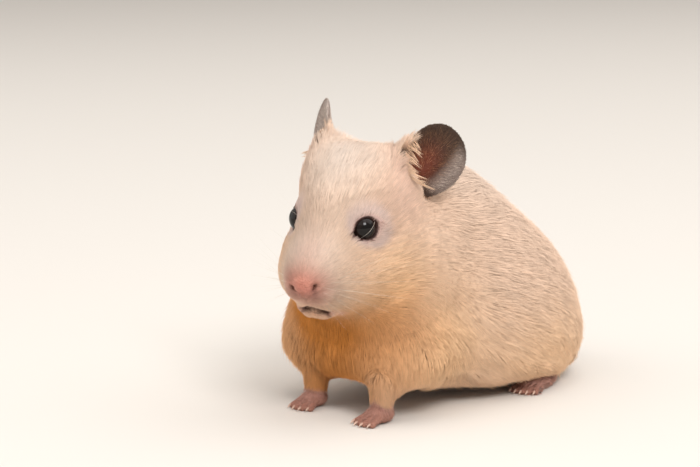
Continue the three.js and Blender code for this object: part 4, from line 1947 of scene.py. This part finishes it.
class Tree:
    """A node tree being wired, with short ways to add its nodes."""

    def __init__(self, tree: bpy.types.NodeTree) -> None:
        """Starts on an empty tree."""
        self.tree = tree
        tree.nodes.clear()

    @staticmethod
    def group(name: str, inputs: dict[str, str]) -> "Tree":
        """Starts a shared effect, a group that takes some inputs and gives a colour.

        Args:
            name: The group's name.
            inputs: The kind of each input, Color or Float, by name.

        Returns:
            The group's tree.
        """
        made = bpy.data.node_groups.new(name, "ShaderNodeTree")
        for label, kind in inputs.items():
            made.interface.new_socket(name=label, in_out="INPUT", socket_type=f"NodeSocket{kind}")
        made.interface.new_socket(name="colour", in_out="OUTPUT", socket_type="NodeSocketColor")
        return Tree(made)

    @staticmethod
    def material(name: str) -> tuple[bpy.types.Material, "Tree"]:
        """A new material and its tree."""
        made = bpy.data.materials.new(name)
        made.use_nodes = True
        return made, Tree(made.node_tree)

    def shader(self, **values: object) -> bpy.types.Node:
        """Adds the surface's shader and joins it to the output.

        Args:
            values: Values or other nodes' outputs for the shader's inputs, with _ for each space.

        Returns:
            The shader.
        """
        shader = self.add("BsdfPrincipled", {name.replace("_", " "): value for name, value in values.items()})
        self.add("OutputMaterial", {"Surface": shader.outputs[0]})
        return shader

    def add(
        self, kind: str, sockets: dict[str | int, object] | None = None, **settings: object
    ) -> bpy.types.Node:
        """Adds a node.

        Args:
            kind: The node's type, without its ShaderNode beginning where it has one.
            sockets: Values or other nodes' outputs for its inputs.
            settings: The node's own settings.

        Returns:
            The node.
        """
        node = self.tree.nodes.new(kind if kind.startswith("Node") else f"ShaderNode{kind}")
        for key, value in settings.items():
            setattr(node, key, value)
        for key, value in (sockets or {}).items():
            if isinstance(value, bpy.types.NodeSocket):
                self.tree.links.new(value, node.inputs[key])
            else:
                node.inputs[key].default_value = value
        return node

    def effect(self, group: bpy.types.ShaderNodeTree, sockets: dict[str, object]) -> bpy.types.NodeSocket:
        """The colour that a shared effect gives."""
        return self.add("Group", sockets, node_tree=group).outputs[0]

    def value(self, name: str) -> bpy.types.NodeSocket:
        """The number stored on the mesh under a name."""
        return self.add("Attribute", attribute_name=name).outputs["Fac"]

    def mix(self, factor: object, a: object, b: object, blend: str = "MIX") -> bpy.types.NodeSocket:
        """A mix of two colours."""
        return self.add("Mix", {0: factor, 6: a, 7: b}, data_type="RGBA", blend_type=blend).outputs[2]

    def sum(self, operation: str, a: object, b: object = 0.0, c: object = 0.0) -> bpy.types.NodeSocket:
        """One step of arithmetic."""
        return self.add("Math", {0: a, 1: b, 2: c}, operation=operation).outputs[0]

    def noise(self, scale: float, detail: float = 3.0) -> bpy.types.NodeSocket:
        """Noise over the piece, at a scale in crests to the metre."""
        where = self.add("TexCoord").outputs["Object"]
        return self.add("TexNoise", {"Vector": where, "Scale": scale, "Detail": detail}).outputs["Fac"]


@dataclass(frozen=True)
class Palette:
    """The colour of each marking and of the painted shade, as red, green and blue from 0 to 255."""

    base: Place
    pale: Place
    warm: Place
    # painted shade, warm as from light bounced up from below
    shade: Place
    lilac: Place
    blush: Place
    # the paws' mauve pink, partly darkened as painted shade
    paw: Place
    nose: Place
    ear: Place
    ear_red: Place
    silver: Place
    dark: Place


COAT_COLOURS = Palette(
    base=(242, 209, 184),
    pale=(236, 218, 203),
    warm=(252, 208, 164),
    shade=(214, 138, 64),
    lilac=(222, 198, 190),
    blush=(236, 190, 176),
    paw=(196, 148, 134),
    nose=(210, 136, 120),
    ear=(116, 90, 70),
    ear_red=(158, 104, 78),
    silver=(222, 208, 198),
    dark=(96, 56, 42),
)
# The skin's colours lie darker than the coat's: partly the skin's own pinker tone and partly painted shade of
# the skin under the hair.
SKIN_COLOURS = Palette(
    base=(218, 174, 142),
    pale=(226, 190, 164),
    warm=(212, 158, 118),
    shade=(170, 104, 56),
    lilac=(188, 160, 154),
    blush=(218, 170, 158),
    paw=(160, 112, 96),
    nose=(196, 124, 108),
    ear=(58, 40, 28),
    ear_red=(108, 52, 34),
    silver=(146, 128, 118),
    dark=(50, 26, 20),
)
COLOUR_NAMES = ("base", *(mask.value for mask in Mask))


def markings_group() -> bpy.types.ShaderNodeTree:
    """The shared effect that lays the markings' colours and the painted shade over the base colour.

    Returns:
        A group with one colour input for each marking and one colour output.
    """
    tree = Tree.group("markings", {name: "Color" for name in COLOUR_NAMES})
    given = tree.add("NodeGroupInput").outputs
    colour = given["base"]
    for mask in Mask:
        colour = tree.mix(tree.value(mask.value), colour, given[mask.value])
    tree.add("NodeGroupOutput", {"colour": colour})
    return tree.tree


def mottle_group() -> bpy.types.ShaderNodeTree:
    """The shared effect that varies a colour a little in soft patches and fine specks.

    Returns:
        A group that takes a colour and an amount, and gives a colour.
    """
    tree = Tree.group("mottle", {"colour": "Color", "amount": "Float"})
    given = tree.add("NodeGroupInput").outputs
    patches, specks = tree.noise(160.0, 2.0), tree.noise(1400.0)
    both = tree.sum("MULTIPLY_ADD", specks, 0.6, patches)
    shade = tree.sum("MULTIPLY_ADD", tree.sum("SUBTRACT", both, 0.8), given["amount"], 1.0)
    tree.add("NodeGroupOutput", {"colour": tree.mix(1.0, given["colour"], shade, "MULTIPLY")})
    return tree.tree


@dataclass(frozen=True)
class HideFinish:
    """The finish of skin or coat: marked colours, mottled, with the coat darker towards its roots."""

    name: str
    colours: Palette
    mottle: float
    roughness: float
    hairy: bool
    specular: float = 0.25
    root_shadow: Place = (0.84, 0.76, 0.68)  # share of red, green and blue light that reaches the roots

    def build(
        self, markings: bpy.types.ShaderNodeTree, mottle: bpy.types.ShaderNodeTree
    ) -> bpy.types.Material:
        """Makes the material.

        Args:
            markings: The group that lays the markings.
            mottle: The group that varies them.

        Returns:
            The material.
        """
        material, tree = Tree.material(self.name)
        colours = {name: linear(getattr(self.colours, name)) for name in COLOUR_NAMES}
        colour = tree.effect(mottle, {"colour": tree.effect(markings, colours), "amount": self.mottle})
        if self.hairy:
            colour = self._haired(tree, colour)
        shader = tree.shader(Base_Color=colour, Roughness=self.roughness, Specular_IOR_Level=self.specular)
        if not self.hairy:
            self._pored(tree, shader)
        return material

    def _haired(self, tree: Tree, colour: bpy.types.NodeSocket) -> bpy.types.NodeSocket:
        """Darkens the roots and gives each tuft its own tint."""
        value = tree.sum("MULTIPLY_ADD", tree.value("tint"), 0.34, 0.83)
        colour = tree.mix(1.0, colour, value, "MULTIPLY")
        height = tree.sum("POWER", tree.value("along"), 0.6)
        shadow = tree.mix(height, (*self.root_shadow, 1.0), (1.0, 1.0, 1.0, 1.0))
        return tree.mix(1.0, colour, shadow, "MULTIPLY")

    @staticmethod
    def _pored(tree: Tree, shader: bpy.types.Node) -> None:
        """Gives bare skin fine pores and creases."""
        pores, creases = tree.noise(2600.0, 2.0), tree.noise(1000.0, 4.0)
        height = tree.sum("MULTIPLY_ADD", creases, 1.2, pores)
        bump = tree.add("Bump", {"Height": height, "Strength": 0.9, "Distance": 0.0005})
        tree.tree.links.new(bump.outputs[0], shader.inputs["Normal"])


@dataclass(frozen=True)
class EyeFinish:
    """A wet, nearly black eye with a faint brown iris."""

    pupil: Place = (12, 8, 6)
    iris: Place = (34, 20, 14)
    iris_edges: tuple[float, float] = (0.86, 0.74)  # where it begins and is full, as cosines off the axis
    roughness: float = 0.04
    specular: float = 0.28

    def build(self) -> bpy.types.Material:
        """Makes the material.

        Returns:
            The material.
        """
        material, tree = Tree.material("wet_dark_eye")
        first, full = self.iris_edges
        sockets = {"Value": tree.value("facing"), "From Min": first, "From Max": full}
        ring = tree.add("MapRange", sockets, interpolation_type="SMOOTHSTEP").outputs[0]
        amount = tree.sum("MULTIPLY", ring, tree.noise(2600.0, 2.0))
        colour = tree.mix(amount, linear(self.pupil), linear(self.iris))
        tree.shader(Base_Color=colour, Roughness=self.roughness, Specular_IOR_Level=self.specular)
        return material


@dataclass(frozen=True)
class HornFinish:
    """Claw or whisker: pale, smooth, changing colour from root to tip."""

    name: str
    root: Place
    tip: Place
    roughness: float

    def build(self) -> bpy.types.Material:
        """Makes the material.

        Returns:
            The material.
        """
        material, tree = Tree.material(self.name)
        root, tip = linear(self.root), linear(self.tip)
        mottled = tree.mix(tree.sum("MULTIPLY", tree.noise(1500.0), 0.35), root, tip)
        tree.shader(Base_Color=tree.mix(tree.value("along"), mottled, tip), Roughness=self.roughness)
        return material


# ---- Studio ----


@dataclass(frozen=True)
class Studio:
    """A plain pale floor, soft lights and the camera. Sizes of lights and floor are in metres."""

    azimuth: float = 43.0  # of the camera, in degrees from the front towards the animal's left
    elevation: float = 10.0
    distance: float = 480.0
    aim_right: float = 4.9  # how far the camera aims beside the middle of the head
    aim_up: float = -2.6
    lens: float = 105.05
    floor_size: float = 6.0
    floor_colour: Place = (226, 220, 212)
    world_colour: Place = (255, 250, 246)
    world_strength: float = 0.52

    LAMPS: ClassVar[dict[str, tuple[Place, float, float]]] = {  # place, size and watts
        "key": ((0.93, -0.44, 0.94), 0.5, 10.2),
        "soft key": ((0.3, -0.7, 1.2), 1.4, 3.0),
        "fill": ((-0.8, -0.7, 0.6), 1.4, 5.0),
        "back": ((0.4, 0.7, 1.4), 2.0, 15.0),
    }

    def build(self) -> None:
        """Lays the floor, hangs the lights and sets up the camera."""
        self._floor()
        self._world()
        self._camera()
        for name, (place, size, power) in self.LAMPS.items():
            self._lamp(name, place, size, power)

    def _floor(self) -> None:
        """A plain pale floor that runs out of sight."""
        bm = bmesh.new()
        bmesh.ops.create_grid(bm, x_segments=1, y_segments=1, size=self.floor_size / 2)
        floor = object_from("floor", bm)
        material, tree = Tree.material("pale_floor")
        tree.shader(Base_Color=linear(self.floor_colour), Roughness=0.9)
        floor.data.materials.append(material)

    def _world(self) -> None:
        """Even light from all round."""
        world = bpy.data.worlds.new("studio")
        world.use_nodes = True
        back = world.node_tree.nodes["Background"]
        back.inputs["Color"].default_value = linear(self.world_colour)
        back.inputs["Strength"].default_value = self.world_strength
        bpy.context.scene.world = world

    def _camera(self) -> None:
        """The camera, a little above the head and looking at its left side from in front."""
        a, e = math.radians(self.azimuth), math.radians(self.elevation)
        back = np.array([math.sin(a) * math.cos(e), -math.cos(a) * math.cos(e), math.sin(e)])
        right = np.array([math.cos(a), math.sin(a), 0.0])
        up = np.cross(back, right)
        place = np.array(HEAD_MIDDLE) + right * self.aim_right + up * self.aim_up + back * self.distance
        camera = bpy.data.objects.new("camera", bpy.data.cameras.new("camera"))
        camera.data.lens = self.lens
        camera.data.clip_start = 0.01
        turned = Matrix(np.stack([right, up, back], -1)).to_4x4()
        camera.matrix_world = Matrix.Translation(Vector(place) * MM) @ turned
        bpy.context.scene.collection.objects.link(camera)
        bpy.context.scene.camera = camera

    @staticmethod
    def _lamp(name: str, place: Place, size: float, power: float) -> None:
        """A square soft light aimed at the animal.

        Args:
            name: The light's name.
            place: Where it hangs, in metres.
            size: Its side in metres.
            power: Its power in watts.
        """
        lamp = bpy.data.objects.new(name, bpy.data.lights.new(name, "AREA"))
        lamp.data.size = size
        lamp.data.energy = power
        lamp.location = place
        aim = Vector((0.0, 0.0, 0.04)) - Vector(place)
        lamp.rotation_euler = aim.to_track_quat("-Z", "Y").to_euler()
        bpy.context.scene.collection.objects.link(lamp)


# ---- The whole animal ----


def joined(pieces: list[bpy.types.Object]) -> bpy.types.Object:
    """Joins objects into the first of them.

    Args:
        pieces: The objects.

    Returns:
        The first.
    """
    first = pieces[0]
    if len(pieces) > 1:
        with bpy.context.temp_override(active_object=first, selected_editable_objects=pieces):
            bpy.ops.object.join()
    return first


def dress(piece: bpy.types.Object, material: bpy.types.Material) -> None:
    """Gives a piece its material and the body it rides on.

    Args:
        piece: The piece.
        material: Its finish.
    """
    piece.data.materials.clear()
    piece.data.materials.append(material)
    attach(piece, BODY)
    mesh = piece.data
    LOG.info("%s: %d triangles", piece.name, len(mesh.loops) - 2 * len(mesh.polygons))


def main() -> None:
    """Builds the animal and its studio."""
    logging.basicConfig(level=logging.INFO, format="%(relativeCreated)8d %(message)s")
    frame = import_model()
    rng = np.random.default_rng(SEED)
    bpy.context.scene.view_settings.view_transform = "Standard"

    markings, mottle = markings_group(), mottle_group()
    skin_finish = HideFinish("bare_skin", SKIN_COLOURS, 0.4, 0.55, False).build(markings, mottle)
    coat_finish = HideFinish("soft_coat", COAT_COLOURS, 0.14, 0.8, True).build(markings, mottle)

    skin = Skin().build(frame["nodes"])
    dress(skin, skin_finish)
    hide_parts(*SKIN_NODES)

    eye_finish = EyeFinish().build()
    for eye in EYES:
        ball = eye.build()
        dress(ball, eye_finish)
        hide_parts(ball.name.replace("eyeball", "eye"))

    claw_finish = HornFinish("pale_claw", (196, 146, 130), (218, 192, 172), 0.35).build()
    for foot in FEET:
        dress(Claws().build(foot), claw_finish)

    surface = Surface(skin)
    for name, kinds in Coat().grow(surface, rng).items():
        dress(joined([strands.build(f"coat_{name}") for strands in kinds]), coat_finish)
    for ear in EARS:
        dress(EarFringe().build(ear, surface, rng), coat_finish)

    whisker_finish = HornFinish("pale_whisker", (214, 190, 170), (248, 240, 228), 0.4).build()
    dress(Whiskers().build(surface, rng), whisker_finish)

    Studio().build()


if __name__ == "__main__":
    main()
